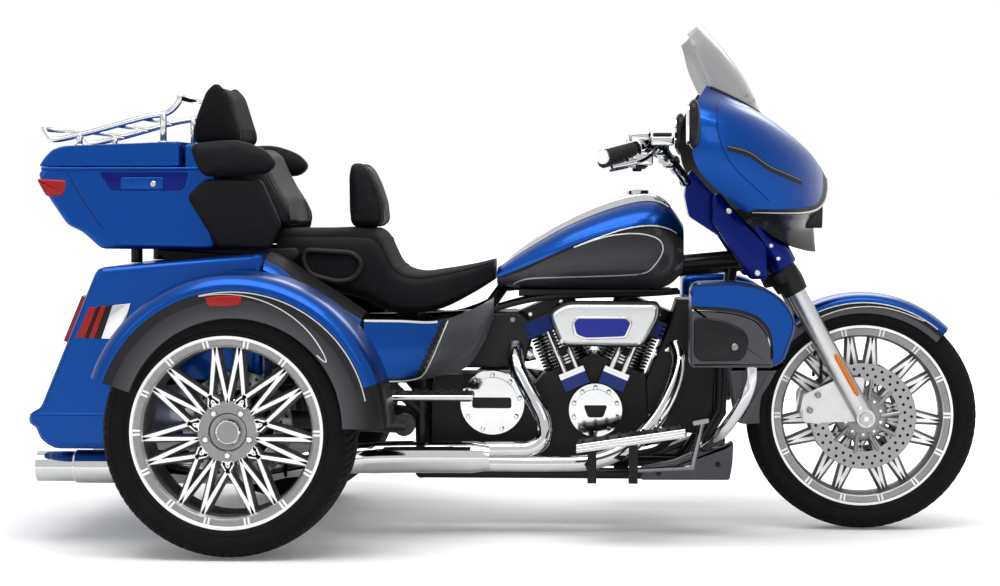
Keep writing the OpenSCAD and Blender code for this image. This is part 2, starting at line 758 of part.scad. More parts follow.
module tour_box() {
  pts = [[box_front, box_split], [box_tail + 14, box_split], [box_tail, box_split - 16],
         [-540, box_split - 79], [-490, mix(box_low, box_split, 0.3)], [-448, mix(box_low, box_split, 0.21)],
         [-398, box_low], [box_front, box_low]];
  cowl_low = box_split - 90;
  cowl_rear = lid_front + 6;
  cowl = [[box_front, cowl_top], [cowl_rear, cowl_top], [cowl_rear, cowl_low], [box_front, cowl_low]];
  wall = 24;
  hollow = [[box_front - wall, box_split - wall], [lid_front - wall, box_split - wall],
            [lid_front - wall, cowl_top], [-520, cowl_top], [-520, box_split - 70],
            [-476, mix(box_low, box_split, 0.4)], [-392, box_low + wall], [box_front - wall, box_low + wall]];
  color("#1f4f9e") {
    difference() {
      at_rear() {
        pillow(fillet(pts, 12, 2), [-300, 900], -box_half, box_half, 16, 3);
        pillow(fillet(cowl, 12, 2), [-128, 990], -box_half, box_half, 16, 3);
      }
      at_rear() slab(hollow, -box_half + 16, box_half - 16);
    }
    // Feet on the rear body
    for (s = [-1, 1])
      for (x = [-330, -150])
        at_rear() {
          z = mix(body_top[0][1], body_top[1][1], (x + 16 - body_top[0][0]) / (body_top[1][0] - body_top[0][0])) + gap;
          translate([x, s * 150, z]) cylinder(h = box_low + 10 - z, r = 16, $fn = 32);
        }
    // Hinge lugs and pins on the left side
    at_rear()
      for (x = box_hinges) {
        for (k = [-1, 1])
          translate([x + k * 28 - 8, hinge_y, box_split - 3])
            rotate([0, 90, 0]) {
              cylinder(h = 16, r = hinge_r - 1);
              translate([0, -14, 0]) cube([hinge_r - 1, 14, 16]);
            }
        translate([x - 30, hinge_y, box_split - 3]) rotate([0, 90, 0]) cylinder(h = 60, r = pin_r);
      }
  }
}

module tour_lid() {
  low = box_split + 3;
  tail_top = box_split + lid_rise[0];
  front_top = box_split + lid_rise[1];
  pts = [[lid_front, low], [box_tail, low], [box_tail + 18, tail_top - 30], [-530, tail_top - 10],
         [-500, tail_top], [lid_front, front_top]];
  hollow = [[lid_front - 14, low - 10], [-520, low - 10], [-520, tail_top - 30], [-490, tail_top - 16],
            [lid_front - 14, front_top - 16]];
  color("#1f4f9e") {
    difference() {
      at_rear() pillow(fillet(pts, 10, 2), [-340, box_split + 34], -box_half, box_half, 16, 3);
      at_rear() slab(hollow, -box_half + 16, box_half - 16);
    }
    at_rear()
      for (x = box_hinges)
        difference() {
          union() {
            translate([x - 16, hinge_y, box_split - 3]) rotate([0, 90, 0]) cylinder(h = 32, r = hinge_r);
            translate([x - 16, hinge_y - 2, box_split - 3]) cube([32, 7, 30]);
            translate([x - 16, box_half - 4, low + 12]) cube([32, 14, 12]);
          }
          translate([x - 20, hinge_y, box_split - 3]) rotate([0, 90, 0]) cylinder(h = 40, r = pin_r + run);
        }
  }
}

rack_half = 220;
function lid_top(x) = mix(lid_rise[0], lid_rise[1], (x + 500) / (lid_front + 500)) + gap;
module luggage_rack() {
  // behind the axle and above the split of the box
  rail = smooth([[-572.5, 0, 112], [-560, 0, 90], [-536, 0, 78], [-440, 0, 98], [-300, 0, 136],
                 [-230, 0, 150], [-200, 0, 176], [-194, 0, 196]], 14);
  color("#c9ccd1")
    at_split() {
      for (s = [-1, 1]) {
        tube([for (p = rail) p + [0, s * rack_half, 0]], 8, 8);
        // Feet on the lid
        rod([-470, s * rack_half, lid_top(-461)], [-470, s * rack_half, 92], 9);
        rod([-240, s * rack_half, lid_top(-231)], [-240, s * rack_half, 148], 9);
      }
      for (p = [[-440, 98], [-370, 117], [-300, 136]])
        rod([p[0], -rack_half, p[1]], [p[0], rack_half, p[1]], 6);
      rod([-194, -rack_half, 192], [-194, rack_half, 192], 8);
      rod([-570, -rack_half, 107], [-570, rack_half, 107], 7);
    }
}

module tour_pads() {
  rise = cowl_top - box_split + gap;
  wing = fillet([[-167, -35], [-60, -28], [70, -40], [86, -100], [60, -200], [-130, -214], [-166, -150]], 22, 3);
  arm = fillet([[-165, -20], [-150, 60], [40, 64], [76, 30], [70, -20]], 26, 3);
  back = fillet([[box_front + gap, -150], [100, -154], [138, -40], [120, 54], [40, 60], [box_front + gap, 56]],
                30, 3);
  fin = fillet([[-168, rise], [-166, 140], [-122, 232], [-96, 228], [-30, rise]], 20, 3);
  color("#2b2c2f")
    at_split() {
      for (s = [-1, 1]) {
        pillow(wing, [-50, -120], s * (box_half + gap), s * (box_half + 38), 12, 2);
        pillow(arm, [-50, 20], s * (box_half + gap), s * (box_half + 54), 18, 3);
      }
      pillow(back, [20, -50], -262, 262, 30, 3);
      pillow(fin, [-100, 130], -180, 180, 20, 3);
    }
}

// Fork and front wheel carriers

yoke_low_z = 700;
yoke_high_z = 842;
yoke_t = 28;
tube_r = 25;
slider_top = 420;
fork_top = 610;
lamp_back = -214;
lamp_z = 880;
dash_x = -326;
dash_lean = 12;
dash_t = 14;

module yoke() {
  linear_extrude(yoke_t, center = true)
    polygon(fillet([[-40, -44], [-16, -fork_half - 36], [56, -fork_half - 36], [56, fork_half + 36],
        [-16, fork_half + 36], [-40, 44]], 14, 2));
}

module at_dash() { at_front() translate([dash_x, 0, 1000]) rotate([0, -dash_lean, 0]) children(); }

module fork_upper() {
  color("#1a1b1e") {
    at_steer(yoke_low_z) yoke();
    at_steer(yoke_high_z) {
      yoke();
      translate([-72, -40, -yoke_t / 2]) cube([72, 80, yoke_t]);
    }
    rod([steer_x(yoke_low_z), 0, yoke_low_z], [steer_x(yoke_high_z), 0, yoke_high_z], stem_r);
    for (s = [-1, 1]) {
      rod(leg(slider_top, s * fork_half), leg(fork_top, s * fork_half), tube_r);
      rod(leg(slider_top, s * fork_half), leg(slider_top + 30, s * fork_half), tube_r + 9);
    }
    // Lamp bracket and fairing brackets
    translate([steer_x(yoke_high_z), -45, lamp_z - 18])
        cube([front_axle_x + lamp_back - gap - steer_x(yoke_high_z), 90, 30]);
    for (s = [-1, 1]) {
      at_dash() translate([dash_t / 2 + gap, s * 60 - 10, -58]) cube([56, 20, 22]);
      translate([steer_x(yoke_high_z) + 22, s * 60 - 10, 850]) cube([34, 20, 112]);
    }
  }
}

axle_r = 12.5;
module fork_sliders() {
  fender_lug = leg(290, 0);
  color("#c6c8cb")
    for (s = [-1, 1])
      difference() {
        union() {
          rod(leg(-6, s * fork_half), leg(slider_top, s * fork_half), slider_r);
          translate([front_axle_x, s * fork_half + 28, front_axle_z]) across() cylinder(h = 54, r = 25);
          translate([fender_lug[0], max(s * (fender_w + gap), s * fork_half), fender_lug[2]]) across()
              cylinder(h = fork_half - fender_w - gap, r = 10);
          translate([front_axle_x, 0, front_axle_z])
            slab(fillet([[-14, -10], [0, 110], [-60, 112], [-170, 60], [-168, -16]], 12, 2),
                s * caliper_plate, s * (caliper_plate + 12));
        }
        translate([front_axle_x, s * fork_half + 40, front_axle_z]) across()
            cylinder(h = 80, r = axle_r + run);
      }
}

module front_axle() {
  color("#9fa2a7")
    difference() {
      union() {
        translate([front_axle_x, fork_half + 36, front_axle_z]) across()
            cylinder(h = 2 * fork_half + 72, r = axle_r);
        for (s = [-1, 1])
          translate([front_axle_x, max(s * (fork_half + 28), s * (fork_half + 38)), front_axle_z])
              across() cylinder(h = 10, r = 18);
      }
      translate([front_axle_x, fork_half + 60, front_axle_z]) across()
          cylinder(h = 2 * fork_half + 120, r = 7);
    }
}

module fork_shroud() {
  pts = fillet([[486, 868], [474, 925], [480, 976], [492, 998], [548, 934], [624, 871], [652, 846],
      [640, 790], [590, 800]], 8, 2);
  color("#1f4f9e")
    difference() {
      at_bar() slab(pts, -50, 50);
      at_steer(yoke_high_z) translate([-300, -200, -300 + yoke_t / 2]) cube([600, 400, 300]);
    }
}

fender_w = 76;
front_fender_r = 341;
module front_fender() {
  t = 4;
  r = front_fender_r;
  prof = concat([[r - 56, -fender_w]], [for (i = [0:8])
      let (a = 180 * i / 8) [r - 26 + 26 * pow(sin(a), 0.7), -fender_w * cos(a)]],
    [[r - 56, fender_w], [r - 56, fender_w - t]],
    [for (i = [8:-1:0]) let (a = 180 * i / 8) [r - 26 - t + 26 * pow(sin(a), 0.7),
        -(fender_w - t) * cos(a)]], [[r - 56, t - fender_w]]);
  color("#1f4f9e")
    translate([front_axle_x, 0, front_axle_z])
      across()
        rotate_extrude(angle = 138, start = 46)
          polygon(prof);
}

disc_r = 146;
disc_y = 70;
caliper_plate = 97;
module front_calipers() {
  color("#a9acb0")
    for (s = [-1, 1])
      translate([front_axle_x, 0, front_axle_z])
        rotate([0, -170, 0])
          difference() {
            slab(fillet([[112, -42], [170, -36], [170, 36], [112, 42]], 10, 2), s * (disc_y - 24),
                s * (caliper_plate - gap));
            slab([[90, -60], [158, -60], [158, 60], [90, 60]], s * (disc_y - 9), s * (disc_y + 9));
          }
}

// Fairing

// nose x, nose z, wing x, wing z, half width
fairing_rows = [[-285, 1150, -443, 1220, 0.63], [-222, 1102, -478, 1160, 0.92], [-150, 1040, -490, 1080, 1],
                [-118, 1010, -465, 985, 0.97], [-108, 995, -348, 884, 0.8]];
function fairing_pt(u, v) =
  let (r = curve(u, fairing_rows), a = 90 * (2 * v - 1), s = abs(sin(a)), c = cos(a),
       g = mix(1 - c, 1 - pow(1 - s, 2.5), u))
  [r[0] - (r[0] - r[2]) * (1 - c), r[4] * fairing_half * sin(a), mix(r[1], r[3], g)];

module fairing() {
  color("#1f4f9e")
    at_front() panel(function (u, v) fairing_pt(u, v), 10, 20, -skin);
}

// Lower edge of the chin: x, height and half width at the nose and at the wing
chin_nose = [-126, 770];
chin_wing = [-334, 868];
chin_half = 0.73;
// Lip under the nose: share of the way down, distance forward
chin_lip = [[0, 0], [0.12, 18], [0.64, -14], [1, 0]];
// Chin surface brought in by a depth
function chin_pt(u, v, d) =
  let (a = 90 * (2 * v - 1), s = abs(sin(a)), top = fairing_pt(1, v) - [0, 0, 0.8],
       low = [mix(chin_nose[0], chin_wing[0], pow(s, 1.2)), chin_half * fairing_half * sin(a),
              mix(chin_nose[1], chin_wing[1], s * s)])
  mix(top, low, u) + [lookup(u, chin_lip) * cos(a) - d * cos(a), -d * sin(a), 0];

module fairing_chin() {
  nu = 8;
  nv = 20;
  function grid(d) = [for (i = [0:nu]) [for (j = [0:nv]) chin_pt(i / nu, j / nv, d)]];
  color("#141518")
    difference() {
      at_front() shell(grid(0), grid(skin));
      at_front() translate([-260, 0, lamp_z]) lamp_prism(0.5, 300);
    }
}

module lamp_prism(d, h) {
  rotate([90, 0, 90])
    linear_extrude(h)
      polygon(fillet([[-100 - d, -44 - d], [100 + d, -44 - d], [112 + d, 40 + d], [-112 - d, 40 + d]], 24,
          4));
}

module headlamp() {
  color("#dfe4ea")
    at_front() translate([lamp_back, 0, lamp_z]) lamp_prism(0, 96);
}

module windshield() {
  rows = [[-285, 1150.8, -443, 1220.8, 0.63], [-356, 1238, -470, 1280, 0.62],
      [-414, 1322, -484, 1330, 0.6], [-452, 1397, -492, 1356, 0.54]];
  color("#5a5f66", 0.6)
    at_front()
      panel(function (u, v)
        let (r = curve(u, rows), a = 90 * (2 * v - 1), c = cos(a))
        [r[0] - (r[0] - r[2]) * (1 - c), r[4] * fairing_half * sin(a), mix(r[1], r[3], 1 - c)], 6, 16,
            -skin);
}

module fairing_dash() {
  n = 8;
  side = [for (i = [0:n])
    let (u = mix(0.06, 0.9, i / n), r = curve(u, fairing_rows),
         x = dash_x - (mix(r[1], r[3], 0.8) - 1000) * tan(dash_lean) + dash_t,
         c = max(1 - (r[0] - x) / (r[0] - r[2]), 0), s = sqrt(1 - c * c),
         g = mix(1 - c, 1 - pow(1 - s, 2.5), u))
    [r[4] * fairing_half * s - skin - 12, (mix(r[1], r[3], g) - 1000) / cos(dash_lean)]];
  pts = concat([for (p = side) [p[1], p[0]]], [for (i = [n:-1:0]) [side[i][1], -side[i][0]]]);
  color("#1a1b1e")
    at_dash()
      translate([-dash_t / 2, 0, 0])
        rotate([0, 90, 0])
          linear_extrude(dash_t)
            polygon([for (p = pts) [-p[0], p[1]]]);
}

grip_out = [249, 430, 1026];
grip_in = [332, 312, 1050];
grip_axis = unit(grip_out - grip_in);
module handlebar() {
  bend = concat([grip_in, grip_in - 10 * grip_axis],
      smooth([grip_in - 22 * grip_axis, [398, 205, 1058], [432, 120, 1022],
    [464, 80, 984], [477, 64, 965]], 10), [[477, 50, 965]]);
  color("#c6c9ce")
    at_bar()
      for (s = [-1, 1])
        tube([for (p = bend) [p[0], s * p[1], p[2]]], 14, 10, [1, 0, 0]);
}
bar_axle_x = 966;
module at_bar() { translate([front_axle_x - bar_axle_x, 0, 0]) children(); }

module hand_controls() {
  color("#1a1b1e")
    at_bar()
      for (s = [-1, 1]) {
        root = grip_in + gap * grip_axis;
        rod(on_side(s, root), on_side(s, grip_out), 18);
        rod(on_side(s, root), on_side(s, root + 40 * grip_axis), 27);
        // Lever ahead of the grip
        pivot = root + 27 * grip_axis + [58, 0, 4];
        rod(on_side(s, root + 27 * grip_axis), on_side(s, pivot), 11);
        rod(on_side(s, pivot), on_side(s, grip_out + [46, 0, -8]), 6);
        translate(on_side(s, root + 27 * grip_axis + [10, 0, 36])) cylinder(h = 30, r = 22, center = true);
      }
}

mirror_root = 1.0125 * fairing_half - 1.9;
module mirrors() {
  color("#1f4f9e")
    at_front()
      for (s = [-1, 1]) {
        translate([-478, s * (mirror_root + 58), 1110]) scale([0.42, 0.8, 1]) sphere(r = 64, $fn = 24);
        rod([-474, s * mirror_root, 1090], [-474, s * (mirror_root + 40), 1090], 12);
      }
}

// Wheels

// Tyre made around z: radius, half width, rim flange radius and rim half width
module tyre(r, w, rf, rw) {
  crown = r - 0.07 * w;
  h = r - rf;
  half = [[rf - 16 + gap, 0], [rf - 16 + gap, rw - 10], [rf - 2, rw - 10], [rf + gap, rw - 5],
      [rf + gap + 2, rw], [rf + 0.3 * h, w - 2],
          [rf + 0.55 * h, w], [crown - 12, w - 4], [crown, w - 12], [mix(crown, r, 0.62), w * 0.62],
              [mix(crown, r, 0.9), w * 0.32], [r, 0]];
  color("#18191b")
    rotate_extrude($fn = 96)
      polygon(concat(half, [for (i = [len(half) - 2:-1:1]) [half[i][0], -half[i][1]]]));
}

// Rim made around z
module rim(rf, rw) {
  half = [[rf - 34, 0], [rf - 34, rw - 30], [rf - 24, rw - 6], [rf - 10, rw], [rf, rw], [rf, rw - 5],
      [rf - 3, rw - 9.6],
          [rf - 16, rw - 9.6], [rf - 16, 0]];
  rotate_extrude($fn = 96)
    polygon(concat(half, [for (i = [len(half) - 2:-1:1]) [half[i][0], -half[i][1]]]));
}

spoke_w = 9;
// Lattice of spokes drawn flat
module spokes(r_hub, r_rim) {
  step = 360 / spoke_pairs;
  foot = step * 0.16;
  over = step * 0.235;
  module bar(r1, a1, r2, a2, w) {
    p = r1 * [cos(a1), sin(a1)];
    q = r2 * [cos(a2), sin(a2)];
    n = [-(q - p)[1], (q - p)[0]] / norm(q - p) * w / 2;
    polygon([p + n, p - n, q - n * 1.25, q + n * 1.25]);
  }
  for (i = [0:spoke_pairs - 1])
    for (k = [-1, 1]) {
      a = 90 + step * i;
      bar(r_hub - 3, a, r_rim, a + k * foot, spoke_w);
      bar(r_hub - 3, a + k * (step / 2 + over - foot * 0.2), r_rim, a + k * foot, spoke_w);
    }
}

module front_tyre() {
  translate([front_axle_x, 0, front_axle_z]) across()
      tyre(front_tyre_d / 2, front_tyre_w / 2, front_rim_d / 2, 50);
}

module front_wheel() {
  color("#b4b7bb")
    translate([front_axle_x, 0, front_axle_z])
      across()
        difference() {
          union() {
            rim(front_rim_d / 2, 50);
            linear_extrude(22, center = true) spokes(70, front_rim_d / 2 - 28);
            cylinder(h = 2 * disc_y + 24, r = 32, center = true);
            cylinder(h = 60, r = 74, center = true);
            for (s = [-1, 1])
              translate([0, 0, s * disc_y])
                difference() {
                  cylinder(h = 5, r = disc_r, center = true);
                  for (i = [0:9]) rotate(36 * i) translate([78, 0, 0])
                      cylinder(h = 10, r = 16, center = true, $fn = 20);
                }
          }
          cylinder(h = 400, r = axle_r + run, center = true);
        }
}

rear_rim_half = 95;
module rear_tyre(s) {
  translate([rear_axle_x, s * rear_track / 2, rear_axle_z]) across()
      tyre(rear_tyre_d / 2, rear_tyre_w / 2, rear_rim_d / 2, rear_rim_half);
}

module rear_wheel(s) {
  color("#b4b7bb")
    translate([rear_axle_x, s * rear_track / 2, rear_axle_z])
      rotate([0, 0, s > 0 ? 180 : 0])
        across()
          difference() {
            union() {
              rim(rear_rim_d / 2, rear_rim_half);
              translate([0, 0, 46]) linear_extrude(26) spokes(74, rear_rim_d / 2 - 20);
              translate([0, 0, -80]) cylinder(h = 152, r = 42);
              translate([0, 0, 40]) cylinder(h = 30, r = 80);
              translate([0, 0, -88]) cylinder(h = 6, r = 145);
              translate([0, 0, -88]) cylinder(h = 10, r = 60);
            }
            translate([0, 0, -200]) cylinder(h = 262, r = 20 + run);
            for (i = [0:4]) rotate(90 + 72 * i) translate([58, 0, 60]) cylinder(h = 20, r = 9, $fn = 20);
          }
}

frame();
seat_rails();
subframe();
engine_block();
cylinders();
rocker_boxes();
pushrods();
engine_covers();
air_cleaner();
exhaust_pipes();
mufflers();
fuel_tank();
tank_console();
seat();
rider_backrest();
side_covers();
body_shoulders();
lower_fairings();
engine_guard();
chin_spoiler();
floorboards();
foot_controls();
rear_body();
fender(-1);  // fender_right
fender(1);  // fender_left
tail_lamps();
rear_axle();
rear_calipers();
drive_belt();
tour_box();
tour_pads();
tour_lid();
luggage_rack();
trunk_door();
fork_upper();
fork_sliders();
fork_shroud();
front_fender();
front_calipers();
front_axle();
fairing();
fairing_dash();
fairing_chin();
windshield();
headlamp();
handlebar();
hand_controls();
mirrors();
front_tyre();
front_wheel();
rear_tyre(-1);  // rear_tyre_right
rear_wheel(-1);  // rear_wheel_right
rear_tyre(1);  // rear_tyre_left
rear_wheel(1);  // rear_wheel_left
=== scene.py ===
"""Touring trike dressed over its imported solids: materials, trim, soft goods, camera and light."""
import bmesh
import bpy
import math
from math import cos, pi, radians, sin, tan
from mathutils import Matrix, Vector


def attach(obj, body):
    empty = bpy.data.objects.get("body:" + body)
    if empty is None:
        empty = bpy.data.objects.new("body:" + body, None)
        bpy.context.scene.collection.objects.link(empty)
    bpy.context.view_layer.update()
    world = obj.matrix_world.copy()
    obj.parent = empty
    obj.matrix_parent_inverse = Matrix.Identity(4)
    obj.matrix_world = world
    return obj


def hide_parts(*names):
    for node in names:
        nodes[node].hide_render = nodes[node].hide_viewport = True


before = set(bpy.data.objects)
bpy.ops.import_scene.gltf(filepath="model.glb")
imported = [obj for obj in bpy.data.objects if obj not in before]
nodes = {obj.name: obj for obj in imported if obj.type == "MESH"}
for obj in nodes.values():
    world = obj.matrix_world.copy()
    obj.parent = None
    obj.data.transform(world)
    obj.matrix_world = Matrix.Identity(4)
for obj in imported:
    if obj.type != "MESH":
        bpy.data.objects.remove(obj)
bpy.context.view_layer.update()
scene = bpy.context.scene

MM = 0.001
# The right side is at -y
SIDES = (-1, 1)
SIDE_NAMES = ((-1, "right"), (1, "left"))
# x and z of the axles and of the crankshaft
FRONT_AXLE = (966.0, 318.0)
REAR_AXLE = (-704.0, 325.0)
CRANK = (225.0, 290.0)
# Lean of each cylinder, tilt of the fork's legs
LEAN = radians(22.5)
FORK_TILT = radians(29)
# From the middle to a rear wheel, to a leg of the fork and to a rail of the rack
REAR_HALF, FORK_HALF, RACK_HALF = 552.5, 115, 220


# Curves and outlines, in millimetres

def mix(a, b, t):
    if isinstance(a, (tuple, list)):
        return tuple(p + (q - p) * t for p, q in zip(a, b))
    return a + (b - a) * t


def curve(t, rows):
    """Point at t from 0 to 1 on the smooth curve through the rows of a table."""
    n = len(rows) - 1
    s = min(max(t, 0.0), 1.0) * n
    i = min(int(s), n - 1)
    f = s - i
    a, b, c, d = rows[max(i - 1, 0)], rows[i], rows[i + 1], rows[min(i + 2, n)]
    return tuple(q + ((r - p) * f + (2 * p - 5 * q + 4 * r - w) * f * f
                      + (3 * q - 3 * r + w - p) * f ** 3) / 2 for p, q, r, w in zip(a, b, c, d))


def smooth(pts, n):
    return [curve(i / n, pts) for i in range(n + 1)]


def steps(n, lo=0.0, hi=1.0):
    return [lo + (hi - lo) * i / n for i in range(n + 1)]


def turns(n):
    """Angles of n even steps round a circle."""
    return steps(n, 0, 2 * pi)[:-1]


def polar(centre, r, a, y):
    """Point at a radius and angle round an axis along y through (x, z)."""
    return (centre[0] + r * cos(a), y, centre[1] + r * sin(a))


def fillet(pts, r, n=6):
    """Outline with its corners rounded over."""
    out = []
    q = len(pts)
    for i in range(q):
        a, b, c = (Vector(pts[(i + k) % q]) for k in (-1, 0, 1))
        d = min(r, (a - b).length * 0.45, (c - b).length * 0.45)
        p, s = b + (a - b).normalized() * d, b + (c - b).normalized() * d
        for k in range(n + 1):
            t = k / n
            out.append(tuple(p * (1 - t) ** 2 + b * 2 * t * (1 - t) + s * t * t))
    return out


def inset(pts, d):
    """Outline brought in by d all round."""
    q = len(pts)
    area = sum(pts[i][0] * pts[(i + 1) % q][1] - pts[(i + 1) % q][0] * pts[i][1] for i in range(q))
    turn = 1 if area > 0 else -1
    out = []
    for i in range(q):
        e = Vector(pts[(i + 1) % q]) - Vector(pts[i - 1])
        if e.length < 1e-6:
            out.append(pts[i])
            continue
        e.normalize()
        out.append((pts[i][0] - turn * e[1] * d, pts[i][1] + turn * e[0] * d))
    return out


def power(x, p):
    """Power of a number that keeps its sign."""
    return math.copysign(abs(x) ** p, x)


def superellipse(angle, p):
    return power(cos(angle), p), power(sin(angle), p)


def surface_normal(f, u, v):
    """Normal of f(u, v), away from the middle of the part."""
    e = 0.002
    p = Vector(f(u, v))
    n = (Vector(f(u + e, v)) - Vector(f(u - e, v))).cross(Vector(f(u, v + e)) - Vector(f(u, v - e)))
    if n.length < 1e-9:
        return Vector((0, 0, 1))
    n.normalize()
    away = Vector((0.15 * (1 if p[0] > 0 else -1), p[1] / 300, 0.6))
    return n if n.dot(away) > 0 else -n


# Mesh pieces

class Build:
    """Collects faces of one piece, each with a material number."""

    def __init__(self):
        self.v, self.f, self.m = [], [], []

    def add(self, verts, faces, mat=0):
        k = len(self.v)
        self.v += [tuple(p) for p in verts]
        self.f += [tuple(k + i for i in face) for face in faces]
        self.m += list(mat) if isinstance(mat, list) else [mat] * len(faces)
        return self

    def loft(self, rings, mat=0, ends=True):
        n, m = len(rings), len(rings[0])
        faces = [(i * m + j, i * m + (j + 1) % m, (i + 1) * m + (j + 1) % m, (i + 1) * m + j)
                 for i in range(n - 1) for j in range(m)]
        if ends:
            faces += [tuple(range(m - 1, -1, -1)), tuple((n - 1) * m + j for j in range(m))]
        return self.add([p for r in rings for p in r], faces, mat)

    def shell(self, outer, inner, pick=None, back=0):
        """Closed solid between two grids of points."""
        n, m = len(outer), len(outer[0])
        q = n * m
        faces, mats = [], []
        for i in range(n - 1):
            for j in range(m - 1):
                a = i * m + j
                faces += [(a, a + 1, a + m + 1, a + m), (q + a + m, q + a + m + 1, q + a + 1, q + a)]
                mats += [pick(i, j) if pick else 0, back]
        rim = [(i * m, (i + 1) * m) for i in range(n - 1)]
        rim += [((i + 1) * m + m - 1, i * m + m - 1) for i in range(n - 1)]
        rim += [(j + 1, j) for j in range(m - 1)]
        rim += [((n - 1) * m + j, (n - 1) * m + j + 1) for j in range(m - 1)]
        faces += [(a, b, q + b, q + a) for a, b in rim]
        return self.add([p for r in outer + inner for p in r], faces, mats + [back] * len(rim))

    def sheet(self, f, us, vs, depth, mat=0, pick=None, back=None):
        """Closed sheet on the surface f(u, v), its back brought in along the normal."""
        n, m = len(us), len(vs)
        grid = [[Vector(f(u, v)) for v in vs] for u in us]
        inner = []
        for i in range(n):
            row = []
            for j in range(m):
                du = grid[min(i + 1, n - 1)][j] - grid[max(i - 1, 0)][j]
                dv = grid[i][min(j + 1, m - 1)] - grid[i][max(j - 1, 0)]
                row.append(grid[i][j] - du.cross(dv).normalized() * depth)
            inner.append(row)
        def part(i, j):
            return pick((us[i] + us[i + 1]) / 2, (vs[j] + vs[j + 1]) / 2) if pick else mat
        return self.shell(grid, inner, part, mat if back is None else back)

    def ribbon(self, f, path, width, lift=0.5, n=48, mat=0, sink=1.2):
        """Flat band along a path of (u, v) on the surface f, standing a little out of it."""
        rows = []
        uv = smooth(path, n)
        spots = [Vector(f(*p)) for p in uv]
        for i, p in enumerate(uv):
            t = (spots[min(i + 1, n)] - spots[max(i - 1, 0)]).normalized()
            out = surface_normal(f, *p)
            side = t.cross(out).normalized() * width / 2
            c = spots[i]
            # share of the half width, height over the surface
            rows.append([c + side * k + out * h for k, h in (
                (-1, -sink), (1, -sink), (1, lift * 0.6), (0.8, lift), (-0.8, lift), (-1, lift * 0.6))])
        return self.loft(rows, mat)

    def revolve_z(self, profile, centre, n=40, mat=0):
        """Outline of (radius, height) turned around an upright axis."""
        rings = [[(centre[0] + r * cos(a), centre[1] + r * sin(a), centre[2] + h)
                  for a in turns(n)] for r, h in ((max(r, 0.01), h) for r, h in profile)]
        return self.loft(rings, mat)

    def tube(self, path, r, sides=16, mat=0, ref=(0, 1, 0)):
        rings = []
        n = len(path) - 1
        for i, p in enumerate(path):
            t = (Vector(path[min(i + 1, n)]) - Vector(path[max(i - 1, 0)])).normalized()
            x = t.cross(Vector(ref)).normalized()
            y = x.cross(t)
            d = r[i] if isinstance(r, (list, tuple)) else r
            rings.append([Vector(p) + d * (x * cos(a) + y * sin(a)) for a in turns(sides)])
        return self.loft(rings, mat)

    def rod(self, a, b, r, mat=0, sides=24, edge=None):
        """Round bar between two points with its ends broken."""
        a, b = Vector(a), Vector(b)
        t = (b - a).normalized()
        ref = (0, 1, 0) if abs(t[1]) < 0.9 else (1, 0, 0)
        e = min(r * 0.15, 1.5) if edge is None else edge
        return self.tube([a, a + t * e, b - t * e, b], (r - e, r, r, r - e), sides, mat, ref)

    def pillow(self, pts, y0, y1, edge, n=4, mat=0, crown=0.0):
        """Outline in x and z drawn across the width, its side edges rounded and its faces crowned."""
        s = 1 if y1 > y0 else -1
        rings = []
        cx = sum(p[0] for p in pts) / len(pts)
        cz = sum(p[1] for p in pts) / len(pts)

        def ring(y, d, k=1.0):
            return [(cx + (p[0] - cx) * k, y, cz + (p[1] - cz) * k) for p in inset(pts, d)]
        if crown:
            rings += [ring(y0 - s * crown * (1 - k * k), edge, k) for k in (0.15, 0.4, 0.65, 0.85)]
        quarter = [(edge * (1 - cos(t)), edge * (1 - sin(t))) for t in steps(n, 0, pi / 2)]
        rings += [ring(y0 + s * along, d) for along, d in quarter]
        rings += [ring(y1 - s * along, d) for along, d in reversed(quarter)]
        if crown:
            rings += [ring(y1 + s * crown * (1 - k * k), edge, k) for k in (0.85, 0.65, 0.4, 0.15)]
        return self.loft(rings, mat)

    def revolve(self, profile, centre, axis_y, a0=0.0, a1=360.0, n=64, mat=0, pick=None):
        """Closed outline of (radius, width) turned around an axis along y through (x, z)."""
        whole = abs(a1 - a0) >= 360
        m = len(profile)
        angles = [radians(a) for a in steps(n, a0, a1)]
        if whole:
            angles = angles[:-1]
        verts = [polar(centre, r, a, axis_y + w) for a in angles for r, w in profile]
        faces, mats = [], []
        count = len(angles)
        for i in range(count if whole else count - 1):
            k = (i + 1) % count
            for j in range(m):
                l = (j + 1) % m
                faces.append((i * m + j, i * m + l, k * m + l, k * m + j))
                mats.append(pick(math.degrees(angles[i]), j) if pick else mat)
        if not whole:
            faces += [tuple(range(m)), tuple((count - 1) * m + j for j in range(m - 1, -1, -1))]
            mats += [mat, mat]
        return self.add(verts, faces, mats)

    def piece(self, name, body, mats, slot=None, replaces=(), sharp=38, bevel=0.0, subdiv=0):
        mesh = bpy.data.meshes.new(name)
        mesh.from_pydata([tuple(c * MM for c in p) for p in self.v], [], self.f)
        for key in mats.split():
            mesh.materials.append(M[key])
        mesh.polygons.foreach_set("material_index", self.m)
        bm = bmesh.new()
        bm.from_mesh(mesh)
        bmesh.ops.recalc_face_normals(bm, faces=bm.faces)
        bm.to_mesh(mesh)
        bm.free()
        mesh.shade_smooth()
        mesh.set_sharp_from_angle(angle=radians(sharp))
        obj = bpy.data.objects.new(name, mesh)
        scene.collection.objects.link(obj)
        if bevel:
            b = obj.modifiers.new("edges", "BEVEL")
            b.width, b.segments, b.limit_method, b.angle_limit = bevel * MM, 2, "ANGLE", radians(50)
            b.harden_normals = True
        if subdiv:
            d = obj.modifiers.new("smooth", "SUBSURF")
            d.levels = d.render_levels = subdiv
        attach(obj, body)
        if replaces:
            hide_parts(*replaces)
        return obj


# Materials

